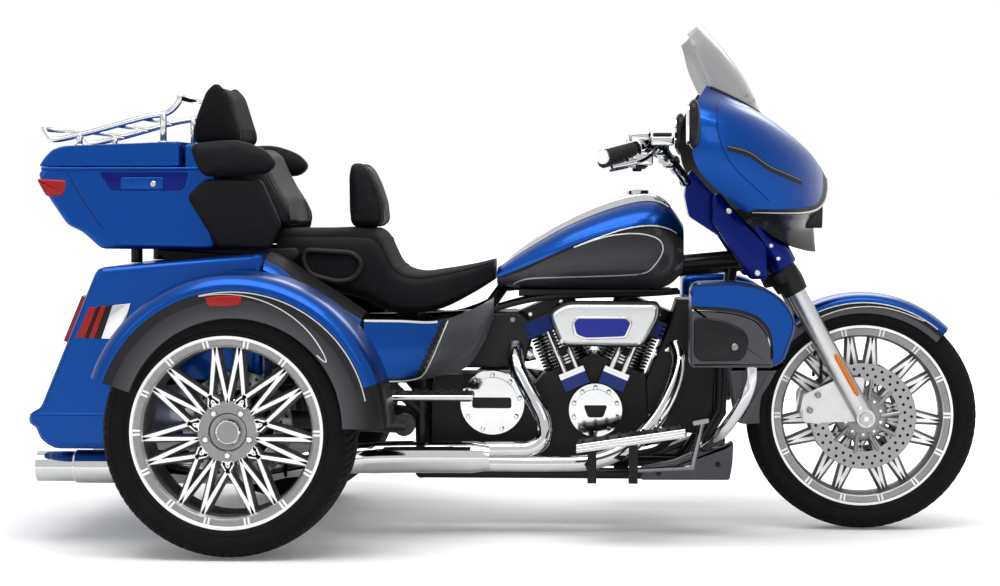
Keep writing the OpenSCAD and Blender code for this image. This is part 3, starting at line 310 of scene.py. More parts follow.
class Expr:
    """A number in a node tree that can be reckoned with."""

    def __init__(self, tree, socket):
        self.tree, self.socket = tree, socket

    def op(self, kind, *others):
        n = self.tree.nodes.new("ShaderNodeMath")
        n.operation = kind
        for i, x in enumerate((self,) + others):
            if isinstance(x, Expr):
                self.tree.links.new(x.socket, n.inputs[i])
            else:
                n.inputs[i].default_value = x
        return Expr(self.tree, n.outputs[0])

    def __add__(self, o): return self.op("ADD", o)
    def __sub__(self, o): return self.op("SUBTRACT", o)
    def __mul__(self, o): return self.op("MULTIPLY", o)
    def abs(self): return self.op("ABSOLUTE")
    def hypot(self, o): return (self * self + o * o).op("SQRT")

    def over(self, edge, soft=0.0006):
        """1 where the value is over the edge, 0 under it."""
        n = self.tree.nodes.new("ShaderNodeMapRange")
        n.inputs["From Min"].default_value = edge - soft
        n.inputs["From Max"].default_value = edge + soft
        self.tree.links.new(self.socket, n.inputs["Value"])
        return Expr(self.tree, n.outputs["Result"])

    def under(self, edge, soft=0.0006):
        return self.over(edge, soft) * -1.0 + 1.0

    def between(self, lo, hi, soft=0.0006):
        return self.over(lo, soft) - self.over(hi, soft)


class Surface:
    """A material with one shader, painted in layers."""

    def __init__(self, name, colour, rough, metal=0.0, coat=0.0, coat_rough=0.03, spec=0.5, alpha=1.0,
                 emit=0.0):
        self.mat = bpy.data.materials.new(name)
        self.mat.use_nodes = True
        self.tree = self.mat.node_tree
        self.tree.nodes.clear()
        out = self.tree.nodes.new("ShaderNodeOutputMaterial")
        self.bsdf = self.tree.nodes.new("ShaderNodeBsdfPrincipled")
        self.tree.links.new(self.bsdf.outputs[0], out.inputs[0])
        self.mat.diffuse_color = (*colour, 1)
        for key, value in (("Base Color", (*colour, 1)), ("Roughness", rough), ("Metallic", metal),
                           ("Coat Weight", coat), ("Coat Roughness", coat_rough),
                           ("Specular IOR Level", spec), ("Alpha", alpha)):
            self.bsdf.inputs[key].default_value = value
        # faint glow in the surface's own colour; on the lenses it is a painted glow for light passing through
        # them
        if emit:
            self.bsdf.inputs["Emission Color"].default_value = (*colour, 1)
            self.bsdf.inputs["Emission Strength"].default_value = emit
        self.colour = None
        self.base = colour
        self.rough0 = rough
        self.coords = self.tree.nodes.new("ShaderNodeTexCoord")

    def xyz(self, which="Object"):
        n = self.tree.nodes.new("ShaderNodeSeparateXYZ")
        self.tree.links.new(self.coords.outputs[which], n.inputs[0])
        return [Expr(self.tree, n.outputs[i]) for i in range(3)]

    def texture(self, kind, scale, stretch=None, **values):
        n = self.tree.nodes.new("ShaderNodeTex" + kind)
        source = self.coords.outputs["Object"]
        if stretch:
            m = self.tree.nodes.new("ShaderNodeMapping")
            m.inputs["Scale"].default_value = stretch
            self.tree.links.new(source, m.inputs["Vector"])
            source = m.outputs["Vector"]
        self.tree.links.new(source, n.inputs["Vector"])
        n.inputs["Scale"].default_value = scale
        for key, value in values.items():
            n.inputs[key.replace("_", " ")].default_value = value
        out = "Distance" if kind == "Voronoi" else "Fac"
        return Expr(self.tree, n.outputs[out if out in n.outputs else 0])

    def paint(self, mask, colour):
        """Lays a colour over the surface where the mask is 1."""
        n = self.tree.nodes.new("ShaderNodeMix")
        n.data_type = "RGBA"
        n.clamp_factor = True
        self.tree.links.new(mask.socket, n.inputs[0])
        if self.colour is None:
            n.inputs[6].default_value = (*self.base, 1)
        else:
            self.tree.links.new(self.colour, n.inputs[6])
        n.inputs[7].default_value = (*colour, 1)
        self.colour = n.outputs[2]
        self.tree.links.new(self.colour, self.bsdf.inputs["Base Color"])
        return self

    def finish(self, mask, rough, key="Roughness"):
        """Sets roughness or metalness where the mask is 1."""
        n = self.tree.nodes.new("ShaderNodeMix")
        n.clamp_factor = True
        self.tree.links.new(mask.socket, n.inputs[0])
        target = self.bsdf.inputs[key]
        if target.is_linked:
            self.tree.links.new(target.links[0].from_socket, n.inputs[2])
        else:
            n.inputs[2].default_value = target.default_value
        n.inputs[3].default_value = rough
        self.tree.links.new(n.outputs[0], target)
        return self

    def vary(self, scale, amount, rough=0.0, stretch=None):
        """Cloudy change of tone and of gloss."""
        noise = self.texture("Noise", scale, stretch, Detail=4.0)
        dark = tuple(c * (1 - amount) for c in self.base)
        self.paint(noise.over(0.5, 0.25), dark)
        if rough:
            self.finish(noise.over(0.5, 0.25), self.rough0 + rough)
        return self

    def bump(self, height, strength, distance=0.001):
        n = self.tree.nodes.new("ShaderNodeBump")
        n.inputs["Strength"].default_value = strength
        n.inputs["Distance"].default_value = distance
        self.tree.links.new(height.socket, n.inputs["Height"])
        old = self.bsdf.inputs["Normal"]
        if old.is_linked:
            self.tree.links.new(old.links[0].from_socket, n.inputs["Normal"])
        self.tree.links.new(n.outputs[0], self.bsdf.inputs["Normal"])
        return self


# Holes in each row round a brake disc
DISC_HOLES = 32
BLUE = (0.0007, 0.022, 0.155)
BLUE_FLAKE = (0.0015, 0.06, 0.29)
DEEP_BLUE = (0.0006, 0.005, 0.095)
CHARCOAL = (0.048, 0.048, 0.054)
CHARCOAL_FLAKE = (0.075, 0.075, 0.084)
BLACK = (0.008, 0.008, 0.009)
BLACK_FLAKE = (0.014, 0.014, 0.016)
SILVER = (0.6, 0.6, 0.6)
CHROME = (0.55, 0.556, 0.56)


def paint_material(name, colour, flake, metal=0.55, rough=0.3):
    """Clear-coated paint with fine metal flake and a trace of orange peel."""
    s = Surface(name, colour, rough, metal, coat=0.16, coat_rough=0.025, spec=0.06)
    s.paint(s.texture("Voronoi", 1400).over(0.42, 0.2), flake)
    s.bump(s.texture("Noise", 90), 0.02, 0.0004)
    return s


def leather_material(name, colour, rough=0.52):
    s = Surface(name, colour, rough, spec=0.08)
    s.vary(24, 0.25, 0.08)
    s.bump(s.texture("Voronoi", 520), 0.35, 0.0006)
    s.bump(s.texture("Noise", 60, Detail=5.0), 0.15, 0.0012)
    return s


def plastic_material(name, colour, rough=0.5, grain=900):
    s = Surface(name, colour, rough, spec=0.22)
    s.vary(30, 0.2, 0.06)
    s.bump(s.texture("Noise", grain, Detail=3.0), 0.22, 0.0004)
    return s


def metal_material(name, colour, rough, stretch=None, amount=0.06):
    s = Surface(name, colour, rough, 1.0)
    s.vary(40, amount, rough * 0.35, stretch)
    s.bump(s.texture("Noise", 260, stretch, Detail=3.0), 0.03, 0.0003)
    return s


M = {}
# name, colour, flake, metalness, roughness
PAINTS = {
    "blue": ("blue_paint", BLUE, BLUE_FLAKE, 0.8),
    "deep_blue": ("deep_blue_paint", DEEP_BLUE, (0.001, 0.009, 0.14), 0.8),
    "charcoal": ("charcoal_paint", CHARCOAL, CHARCOAL_FLAKE, 0.3, 0.36),
    "gloss_black": ("gloss_black_paint", BLACK, BLACK_FLAKE, 0.1, 0.25),
    "stripe": ("silver_stripe", SILVER, (0.7, 0.7, 0.7), 0.3, 0.3),
}
# name, colour, roughness, stretch of the grain, change of tone
METALS = {
    "chrome": ("polished_chrome", CHROME, 0.06),
    "alloy": ("satin_alloy", (0.56, 0.565, 0.57), 0.3),
    "forged": ("forged_alloy", (0.26, 0.26, 0.265), 0.42),
    "bright": ("machined_alloy", (0.82, 0.82, 0.82), 0.45, None, 0.02),
    "steel": ("brushed_steel", (0.42, 0.42, 0.43), 0.34, (1, 30, 1)),
    "barrel": ("rim_barrel", (0.17, 0.17, 0.175), 0.5),
    "dark_metal": ("dark_cast", (0.07, 0.07, 0.075), 0.45),
    "chrome_dark": ("black_chrome", (0.2, 0.2, 0.21), 0.1),
    "mirror": ("mirror_face", (0.8, 0.82, 0.84), 0.03, None, 0.02),
}
# name, colour, roughness, scale of the grain
PLASTICS = {
    "case_black": ("wrinkle_black", (0.007, 0.007, 0.008), 0.42, 700),
    "plastic": ("black_plastic", (0.008, 0.008, 0.009), 0.5),
    "rubber": ("black_rubber", (0.012, 0.012, 0.012), 0.72, 500),
    "dark_glass": ("dark_glass", (0.006, 0.006, 0.008), 0.08, 60),
    "navy_inset": ("navy_inset", (0.02, 0.03, 0.3), 0.35, 1200),
}
# name, colour, roughness
LEATHERS = {
    "leather": ("seat_vinyl", (0.009, 0.009, 0.011)),
    "suede": ("seat_top_vinyl", (0.006, 0.006, 0.0065), 0.75),
}
LENSES = {
    "red_lens": ("red_lens", (0.4, 0.002, 0.003)),
    "amber_lens": ("amber_lens", (0.85, 0.22, 0.01)),
    "clear_lens": ("clear_lens", (0.75, 0.78, 0.82)),
}


def make_materials():
    for table, make in ((PAINTS, paint_material), (METALS, metal_material), (PLASTICS, plastic_material),
                        (LEATHERS, leather_material), (LENSES, lens_material)):
        for key, row in table.items():
            M[key] = make(*row).mat
    own = {
        "screen": screen_material(), "fins": fin_material(), "pushrods": pushrod_material(),
        "box": box_material(), "tyre": tyre_material(), "rocker": rocker_material(),
        "tank_charcoal": tank_shade_material(), "fender_charcoal": fender_shade_material(),
        "front_wheel": wheel_material("front_wheel_alloy", FRONT_AXLE, 70, 98, 147),
        "rear_wheel": wheel_material("rear_wheel_alloy", REAR_AXLE, 467.5, 98, 146),
    }
    for key, surface in own.items():
        M[key] = surface.mat


def lens_material(name, colour):
    """Moulded lens with fine prisms under a clear face, with a faint painted glow."""
    # painted glow: emit=0.04 makes the lens glow faintly in its own colour
    s = Surface(name, colour, 0.18, coat=0.25, coat_rough=0.02, emit=0.04, spec=0.15)
    x, _, z = s.xyz()
    ribs = (z * 900.0).op("SINE") * (x * 900.0).op("SINE")
    s.paint(ribs.over(0.0, 0.5), tuple(c * 0.6 for c in colour))
    s.bump(ribs, 0.25, 0.0008)
    return s


def screen_material():
    s = Surface("smoked_screen", (0.3, 0.3, 0.31), 0.1, coat=0.2, alpha=0.5, spec=0.3)
    s.vary(8, 0.1)
    return s


def cylinder_axes(s):
    """Place across, beside and along the cylinders, measured from the crankshaft and alike for both."""
    x, y, z = s.xyz()
    dx, dz = (x - CRANK[0] * MM).abs(), z - CRANK[1] * MM
    return dx * cos(LEAN) - dz * sin(LEAN), y, dx * sin(LEAN) + dz * cos(LEAN)


def fin_material():
    """Black castings with the edges of the fins cut bright."""
    s = Surface("black_fins", (0.014, 0.014, 0.015), 0.4, 0.2)
    across, y, _ = cylinder_axes(s)
    rim = across.hypot(y).over(0.0728)
    s.paint(rim, (0.5, 0.5, 0.51))
    s.finish(rim, 0.25)
    s.finish(rim, 1.0, "Metallic")
    s.bump(s.texture("Noise", 500), 0.12, 0.0004)
    return s


def pushrod_material():
    """Chrome tubes over painted tappet blocks."""
    s = Surface("pushrod_chrome", CHROME, 0.07, 1.0)
    block = cylinder_axes(s)[2].under(0.152)
    s.paint(block, (0.001, 0.02, 0.16))
    s.finish(block, 0.3)
    s.finish(block, 0.5, "Metallic")
    s.bump(s.texture("Noise", 260), 0.03, 0.0003)
    return s


def rocker_material():
    """Black rocker covers on a painted base."""
    s = paint_material("rocker_cover", BLACK, BLACK_FLAKE, 0.1, 0.3)
    s.paint(cylinder_axes(s)[2].under(0.333), (0.001, 0.014, 0.12))
    return s


def tank_shade_material():
    """Charcoal paint that darkens to black under the blue: painted shade below the blue top."""
    s = paint_material("tank_charcoal", CHARCOAL, CHARCOAL_FLAKE, 0.3, 0.36)
    # painted shade: black laid over the charcoal, growing from about 0.69 m high up to the blue
    s.paint(s.xyz()[2].over(0.79, 0.1), BLACK)
    return s


def fender_shade_material():
    """Charcoal paint that darkens to black towards the blue lip: painted shade under the lip."""
    s = paint_material("fender_charcoal", CHARCOAL, CHARCOAL_FLAKE, 0.3, 0.36)
    x, _, z = s.xyz()
    r = (x - FENDER_CENTRE[0] * MM).hypot(z - FENDER_CENTRE[1] * MM)
    # painted shade: black laid over the charcoal near the lip, from about 0.28 m out from the fender's centre
    s.paint(r.over(0.312, 0.035), BLACK)
    return s


def box_material():
    """Blue paint with the mounting posts below the box in black."""
    s = paint_material("box_paint", BLUE, BLUE_FLAKE, 0.8)
    post = s.xyz()[2].under(0.7835)
    s.paint(post, BLACK)
    s.finish(post, 0.0, "Metallic")
    return s


def tyre_material():
    s = Surface("tyre_rubber", (0.006, 0.006, 0.0064), 0.65, spec=0.1)
    s.vary(18, 0.25, 0.12)
    s.bump(s.texture("Noise", 700, Detail=4.0), 0.2, 0.0004)
    return s


def wheel_material(name, axle, disc_y, disc_in, disc_out):
    """Grey forging with machined bright faces, and rows of holes in the brake disc painted near black as
    painted shade.
    """
    s = Surface(name, (0.13, 0.13, 0.137), 0.34, 1.0)
    x, y, z = s.xyz()
    dx, dz = x - axle[0] * MM, z - axle[1] * MM
    r = dx.hypot(dz)
    face = s.xyz("Normal")[1].abs().over(0.92, 0.04)
    s.paint(face, (0.78, 0.78, 0.79))
    s.finish(face, 0.2)
    disc = r.between(disc_in * MM, disc_out * MM) * (y.abs() - disc_y * MM).abs().over(0.004) * -1.0
    disc = disc + r.between(disc_in * MM, disc_out * MM)
    s.paint(disc, (0.25, 0.25, 0.255))
    turn = dz.op("ARCTAN2", dx) * (DISC_HOLES / (2 * pi))
    for k, radius in enumerate((mix(disc_in, disc_out, 0.34), mix(disc_in, disc_out, 0.7))):
        along = ((turn + 0.5 * k).op("FRACT") - 0.5) * (2 * pi * radius * MM / DISC_HOLES)
        hole = (r - radius * MM).hypot(along).under(0.0042)
        # painted shade: no holes are cut, and near-black spots stand for the holes and the shade seen through
        # them
        s.paint(hole * disc, (0.01, 0.01, 0.01))
    s.bump(s.texture("Noise", 300, (1, 1, 1)), 0.04, 0.0003)
    return s


def dress_node(name, mat):
    """Gives a CAD node a material."""
    obj = nodes[name]
    if not obj.data.materials:
        obj.data.materials.append(mat)
    for i in range(len(obj.material_slots)):
        obj.material_slots[i].material = mat


NODE_LOOKS = {
    "gloss_black": "frame seat_rails subframe fairing_chin",
    "case_black": "engine_block floorboards rear_calipers fork_upper",
    "fins": "cylinders",
    "rocker": "rocker_boxes",
    "pushrods": "pushrods",
    "chrome": "engine_covers exhaust_pipes mufflers tank_console engine_guard luggage_rack handlebar",
    "alloy": "air_cleaner fork_sliders front_calipers",
    "blue": "fuel_tank side_covers rear_body fender_right fender_left "
            "tour_lid trunk_door front_fender fairing",
    "leather": "seat rider_backrest body_shoulders tour_pads",
    "charcoal": "lower_fairings chin_spoiler",
    "chrome_dark": "foot_controls",
    "red_lens": "tail_lamps",
    "dark_metal": "rear_axle",
    "rubber": "drive_belt",
    "box": "tour_box",
    "deep_blue": "fork_shroud mirrors",
    "steel": "front_axle",
    "plastic": "fairing_dash hand_controls",
    "screen": "windshield",
    "dark_glass": "headlamp",
    "tyre": "front_tyre rear_tyre_right rear_tyre_left",
    "front_wheel": "front_wheel",
    "rear_wheel": "rear_wheel_right rear_wheel_left",
}


# Surfaces shared with the solids, in millimetres

FAIRING_HALF, TANK_HALF, SEAT_HALF, BOX_HALF, BODY_HALF = 418, 168, 200, 296, 430
# nose x, nose z, wing x, wing z, half width
FAIRING_ROWS = [(-285, 1150, -443, 1220, 0.63), (-222, 1102, -478, 1160, 0.92), (-150, 1040, -490, 1080, 1),
                (-118, 1010, -465, 985, 0.97), (-108, 995, -348, 884, 0.8)]
SCREEN_ROWS = [(-285, 1150.8, -443, 1220.8, 0.63), (-324, 1238, -470, 1280, 0.62),
               (-384, 1322, -484, 1330, 0.6), (-452, 1397, -492, 1356, 0.54)]
# distance forward, down the chin
CHIN_LIP = [(0,), (16,), (10,), (4,), (-6,), (-14,), (-10,), (-5,), (0,)]
# x, half width, top, bottom
TANK_ROWS = [(-44, 0.52, 726, 676), (40, 0.66, 784, 668), (150, 0.84, 848, 667), (270, 0.96, 898, 667),
             (370, 1, 920, 668), (430, 0.92, 900, 680), (470, 0.66, 846, 716)]
# angle of the paint line above the widest place
TANK_LINE = [(-2,), (3,), (10,), (16,), (19,), (20,), (20,), (20,)]
SEAT_ROWS = [(-52, 0.44, 750, 692), (-110, 0.66, 736, 656), (-190, 0.88, 722, 616), (-262, 0.98, 715, 602),
             (-318, 1, 740, 602), (-362, 1, 822, 616), (-410, 1, 838, 640), (-520, 1, 836, 664),
             (-640, 0.98, 836, 674)]


def fairing_pt(u, v):
    nose_x, nose_z, wing_x, wing_z, half = curve(u, FAIRING_ROWS)
    a = radians(90 * (2 * v - 1))
    s, c = abs(sin(a)), cos(a)
    g = mix(1 - c, 1 - (1 - s) ** 2.5, u)
    return (FRONT_AXLE[0] + nose_x - (nose_x - wing_x) * (1 - c), half * FAIRING_HALF * sin(a),
            mix(nose_z, wing_z, g))


def screen_pt(u, v):
    nose_x, nose_z, wing_x, wing_z, half = curve(u, SCREEN_ROWS)
    a = radians(90 * (2 * v - 1))
    c = cos(a)
    return (FRONT_AXLE[0] + nose_x - (nose_x - wing_x) * (1 - c), half * FAIRING_HALF * sin(a),
            mix(nose_z, wing_z, 1 - c))


def chin_pt(u, v):
    a = radians(90 * (2 * v - 1))
    s, c = abs(sin(a)), cos(a)
    top = fairing_pt(1, v)
    low = (FRONT_AXLE[0] + mix(-126, -334, s ** 1.2), 0.73 * FAIRING_HALF * sin(a), mix(770, 868, s * s))
    p = mix((top[0], top[1], top[2] - 0.8), low, u)
    return (p[0] + curve(u, CHIN_LIP)[0] * c, p[1], p[2])


def tank_at(u, degrees):
    x, half, top, bottom = curve(u, TANK_ROWS)
    a = radians(degrees)
    return (x, half * TANK_HALF * power(cos(a), 0.75), mix(bottom, top, (1 + power(sin(a), 0.8)) / 2))


def tank_pt(u, v):
    """v runs from the left edge of the tunnel over the top: 0 to 6, with the paint lines at 1, 2, 4 and 5."""
    line = curve(u, TANK_LINE)[0]
    knots = [-62, line - 5, line, 90, 180 - line, 185 - line, 242]
    i = min(int(v), 5)
    return tank_at(u, mix(knots[i], knots[i + 1], v - i))


def in_cylinder(s, p):
    """Point in a cylinder's own frame, s is -1 for the rear one and 1 for the front one."""
    return (CRANK[0] + p[0] * cos(LEAN) + s * p[2] * sin(LEAN), p[1],
            CRANK[1] + p[2] * cos(LEAN) - s * p[0] * sin(LEAN))


def fork_leg(d, y):
    """Point on a leg of the fork, d above the axle."""
    return (FRONT_AXLE[0] - d * sin(FORK_TILT), y, FRONT_AXLE[1] + d * cos(FORK_TILT))


def on_side(s, p):
    return (p[0], s * p[1], p[2])


# Fairing, screen and lamp

# Down and across the fairing, for its right half
FAIRING_SLOT = [(0.575, 0.086), (0.62, 0.14), (0.733, 0.19), (0.828, 0.276)]
FAIRING_SEAMS = [[(0.02, 0.085), (0.3, 0.07), (0.6, 0.075), (0.92, 0.12)],
                 [(0.1, 0.085), (0.13, 0.16), (0.1, 0.3), (0.03, 0.4)]]


def make_fairing():
    b = Build().sheet(fairing_pt, steps(30), steps(72), 4, back=1)
    b.piece("fairing_shell", "steering", "blue plastic", "blue_paint", ["fairing"], bevel=1.2)
    b = Build().sheet(chin_pt, steps(20), steps(72), 4)
    b.piece("fairing_chin_panel", "steering", "gloss_black", "black_paint", ["fairing_chin"], bevel=1.2)
    b = Build()
    for flip in (False, True):
        slot, *seams = ([(u, 1 - v if flip else v) for u, v in path]
                        for path in (FAIRING_SLOT, *FAIRING_SEAMS))
        b.ribbon(fairing_pt, slot, 15, 0.7, mat=0)
        b.ribbon(fairing_pt, [(u - 0.012, v) for u, v in slot], 3, 1.6, mat=1)
        for seam in seams:
            b.ribbon(fairing_pt, seam, 3, 0.4, n=60, mat=2)
    b.piece("fairing_slots", "steering", "plastic chrome_dark deep_blue", "black_paint")
    b = Build()
    edge = steps(60, 0.03, 0.97)
    b.ribbon(chin_pt, [(0.02, v) for v in edge], 14, 0.5, n=90, mat=0)
    b.ribbon(chin_pt, [(0.105, v) for v in edge], 4.0, 0.8, n=90, mat=1)
    b.piece("fairing_stripes", "steering", "gloss_black stripe", "black_paint")
    b = Build().sheet(screen_pt, steps(24), steps(64), 4)
    b.piece("smoked_windshield", "steering", "screen", "smoked_screen", ["windshield"], bevel=1.0)
    b = Build()
    b.ribbon(fairing_pt, [(0.012, v) for v in steps(40, 0.02, 0.98)], 12, 3.0, n=80, mat=0)
    for v in (0.3, 0.42, 0.58, 0.7):
        p = Vector(screen_pt(0.16, v))
        n = surface_normal(screen_pt, 0.16, v)
        b.rod(p - n * 5, p + n * 3.5, 6, 1)
    b.piece("screen_trim", "steering", "rubber chrome_dark", "black_plastic")


# Half depth, half width and half height of a mirror, and of its glass
MIRROR_DEPTH, MIRROR_HALF, GLASS_HALF = 17, (51, 64), (42, 53)


def make_mirrors():
    for s, side in SIDE_NAMES:
        b = Build()
        cx, cy, cz = FRONT_AXLE[0] - 486, s * 479, 1110

        def ring(x, half, k=1.0):
            return [(cx + x, cy + half[0] * c * k, cz + half[1] * q * k)
                    for c, q in (superellipse(a, 0.7) for a in turns(40))]
        b.loft([ring(MIRROR_DEPTH * sin(t), MIRROR_HALF, max(cos(t), 0.02) ** 0.6)
                for t in steps(16, -pi / 2, pi / 2)])
        b.loft([ring(-MIRROR_DEPTH - 0.8, GLASS_HALF), ring(-MIRROR_DEPTH + 4, GLASS_HALF)], 1)
        b.rod((cx + 4, s * 420.8, 1090), (cx + 4, s * 470, 1090), 12, 2)
        b.piece("mirror_" + side, "steering", "gloss_black mirror plastic", "blue_paint",
                ["mirrors"] if s < 0 else [])


# Tank and console

def make_tank():
    us = steps(40)
    vs = steps(12, 0, 1) + [1.5] + steps(24, 2, 4) + [4.5] + steps(12, 5, 6)
    outer = [[tank_pt(u, v) for v in vs] for u in us]
    inner = []
    for u in us:
        x, half, top, bottom = curve(u, TANK_ROWS)
        w = min(72, half * TANK_HALF * 0.44)
        crest = min(mix(688, 752, (x + 20) / (704 + 20)) + 36, top - 20)
        row = []
        for v in vs:
            a = pi * v / 6
            row.append((x, w * power(cos(a), 0.5), mix(bottom - 1, crest, max(sin(a), 0) ** 0.5)))
        inner.append(row)

    def pick(i, j):
        v = (vs[j] + vs[j + 1]) / 2
        return 0 if 2 < v < 4 else 1 if 1 < v < 5 else 2
    b = Build().shell(outer, inner, pick, 2)
    b.piece("painted_tank", "chassis", "blue gloss_black tank_charcoal", "blue_paint", ["fuel_tank"],
            sharp=50)
    # along the tank, degrees round it
    loop = [(0.36, 170.5), (0.435, 168), (0.499, 167.3), (0.58, 168.9), (0.66, 172.1), (0.745, 177),
            (0.773, 184.6), (0.706, 203.5), (0.645, 214), (0.499, 216), (0.326, 212), (0.175, 205),
            (0.12, 214), (0.1, 226)]
    line = [(0.36, 170.5), (0.465, 165.5), (0.563, 162.2), (0.712, 161.4), (0.9, 161.2)]
    b = Build()
    for flip in (False, True):
        for path in (loop, line):
            b.ribbon(tank_at, [(u, 180 - a if flip else a) for u, a in path], 3.2, 0.5, n=90)
    b.piece("tank_pinstripes", "chassis", "stripe", "blue_paint")
    make_console()


def make_console():
    nu, nv = 44, 24

    def grid(height):
        rows = []
        for i in range(nu + 1):
            spots = [(tank_at((1 + 11 * i / nu) / 14, 90 + 24 * k), k) for k in steps(nv, -1, 1)]
            rows.append([(x, y, z + height(i, k)) for (x, y, z), k in spots])
        return rows
    b = Build().shell(grid(lambda i, k: 4 + 12 * max(sin(pi * i / nu), 0) ** 0.6 * (1 - k ** 4)),
                      grid(lambda i, k: 0.6))
    x, _, z = tank_at(0.62, 90)
    b.revolve_z([(0, 0), (30, 0), (30, 10), (26, 13), (10, 15), (0, 15)], (x, 0, z + 12), mat=0)
    b.piece("chrome_console", "chassis", "chrome", "chrome", ["tank_console"], sharp=45)


# Seat and pads

SWELL_VOXEL, SWELL_FRAMES, SWELL_PRESSURE = 0.006, 20, 4.0
# How far from a seam a cover is free to swell, in metres
SEAM_REACH = 0.05


def evaluated_mesh(obj):
    return bpy.data.meshes.new_from_object(obj.evaluated_get(bpy.context.evaluated_depsgraph_get()))


def swell(obj, cap, seams=()):
    """Swells a pad's cover as cloth, by cap metres at most and held at its seams, given by y in mm."""
    mats = list(obj.data.materials)
    work = bpy.data.objects.new("swelling", obj.data.copy())
    scene.collection.objects.link(work)
    remesh = work.modifiers.new("remesh", "REMESH")
    remesh.mode, remesh.voxel_size = "VOXEL", SWELL_VOXEL
    rest = evaluated_mesh(work)
    work.modifiers.clear()
    work.data = rest
    cloth = work.modifiers.new("cloth", "CLOTH").settings
    cloth.use_pressure, cloth.uniform_pressure_force = True, SWELL_PRESSURE
    cloth.effector_weights.gravity = 0
    for number in range(1, SWELL_FRAMES + 1):
        scene.frame_set(number)
    swollen = evaluated_mesh(work)
    moved = []
    for start, end in zip(rest.vertices, swollen.vertices):
        move = end.co - start.co
        if move.length > cap:
            move *= cap / move.length
        near = min((abs(start.co[1] - y * MM) for y in seams), default=SEAM_REACH) / SEAM_REACH
        moved.append(start.co + move * sin(min(near, 1.0) * pi / 2))
    obj.data = rest
    for vertex, place in zip(rest.vertices, moved):
        vertex.co = place
    rest.materials.clear()
    for mat in mats:
        rest.materials.append(mat)
    rest.shade_smooth()
    rest.update()
    obj.modifiers.new("smooth", "SUBSURF").levels = 1
    obj.modifiers["smooth"].render_levels = 1
    bpy.data.objects.remove(work)
    bpy.data.meshes.remove(swollen)
    scene.frame_set(1)


def seat_surface(t, degrees):
    x, half, top, low = curve(t, SEAT_ROWS)
    a = radians(degrees)
    s = sin(a)
    height = (1 + power(s, 0.5 if s > 0 else 0.25)) / 2
    return (x, power(cos(a), 0.42) * half * SEAT_HALF, mix(low, top, height))


# Faces round the seat, and the first and last of them that lie on its top
SEAT_SIDES, TOP_FROM, TOP_TO = 72, 7, 28
# y of the seams across each pad
RIDER_SEAMS, PASSENGER_SEAMS, HEAD_SEAMS = (-86, 86), (-226, 226), (-150, 150)


def make_seat():
    b = Build().loft([[seat_surface(t, 360 * j / SEAT_SIDES) for j in range(SEAT_SIDES)] for t in steps(70)])
    for k in range(len(b.f) - 2):
        b.m[k] = 1 if TOP_FROM <= k % SEAT_SIDES <= TOP_TO else 0
    seat = b.piece("rider_seat", "chassis", "leather suede", "seat_cover", ["seat"], sharp=60)
    b = Build()
    for a in (36, 144):
        b.ribbon(seat_surface, [(t, a) for t in steps(40, 0.03, 0.98)], 4, 1.6, n=110)
    for t in (0.48, 0.6):
        b.ribbon(seat_surface, [(t, a) for a in steps(24, 38, 142)], 4, 1.4, n=60)
    b.piece("seat_piping", "chassis", "suede", "seat_cover")
    make_shoulders()
    back = fillet([(-376, 840), (-358, 856), (-362, 904), (-378, 954), (-398, 996), (-418, 1014),
                   (-445, 1012), (-451, 980), (-450, 890), (-446, 852), (-434, 840)], 12, 5)
    b = Build().pillow(back, -118, 118, 24, 8)
    rest = b.piece("rider_back_pad", "chassis", "leather", "seat_cover", ["rider_backrest"], sharp=60)
    swell(rest, 0.006, RIDER_SEAMS)
    b = Build()
    for y in RIDER_SEAMS:
        b.tube([(p[0], y, p[1]) for p in back + back[:1]], 2.0, 8)
    b.piece("back_pad_piping", "chassis", "suede", "seat_cover")


def make_shoulders():
    """Padded sides between the seat and the rear body, with the passenger's grab handles."""
    # x, height of the inner edge, height of the outer edge
    rows = [(-641, 770, 758), (-600, 752, 736), (-560, 722, 704), (-515, 692, 678), (-470, 664, 652),
            (-425, 634, 624), (-386, 606, 600)]
    for s, side in SIDE_NAMES:
        def pad(u, v):
            x, inner, outer = curve(u, rows)
            y = mix(204, 429, v)
            drop = 26 * max(0.0, (v - 0.82) / 0.18) ** 2
            return (x, s * y, mix(inner, outer, v) - drop + 10 * sin(pi * min(v / 0.85, 1)) ** 0.8)
        b = Build().sheet(pad, steps(30), steps(30), 16 * s, pick=lambda u, v: 1 if v > 0.86 else 0)
        b.sheet(lambda u, v: (mix(-396, -384, u), s * mix(206, 428, v), mix(445, 598, u)),
                [0, 1], [0, 1], 0.5)
        obj = b.piece("shoulder_pad_" + side, "chassis", "leather blue", "black_plastic",
                      ["body_shoulders"] if s < 0 else [], sharp=50)
        loop = fillet([(-572, 778), (-430, 770), (-404, 742), (-424, 700), (-470, 690), (-555, 712)], 30, 6)
        b = Build()
        b.tube([(p[0], s * (SEAT_HALF + 3), p[1]) for p in loop + loop[:1]], 9, 12)
        b.piece("grab_handle_" + side, "chassis", "plastic", "black_plastic")


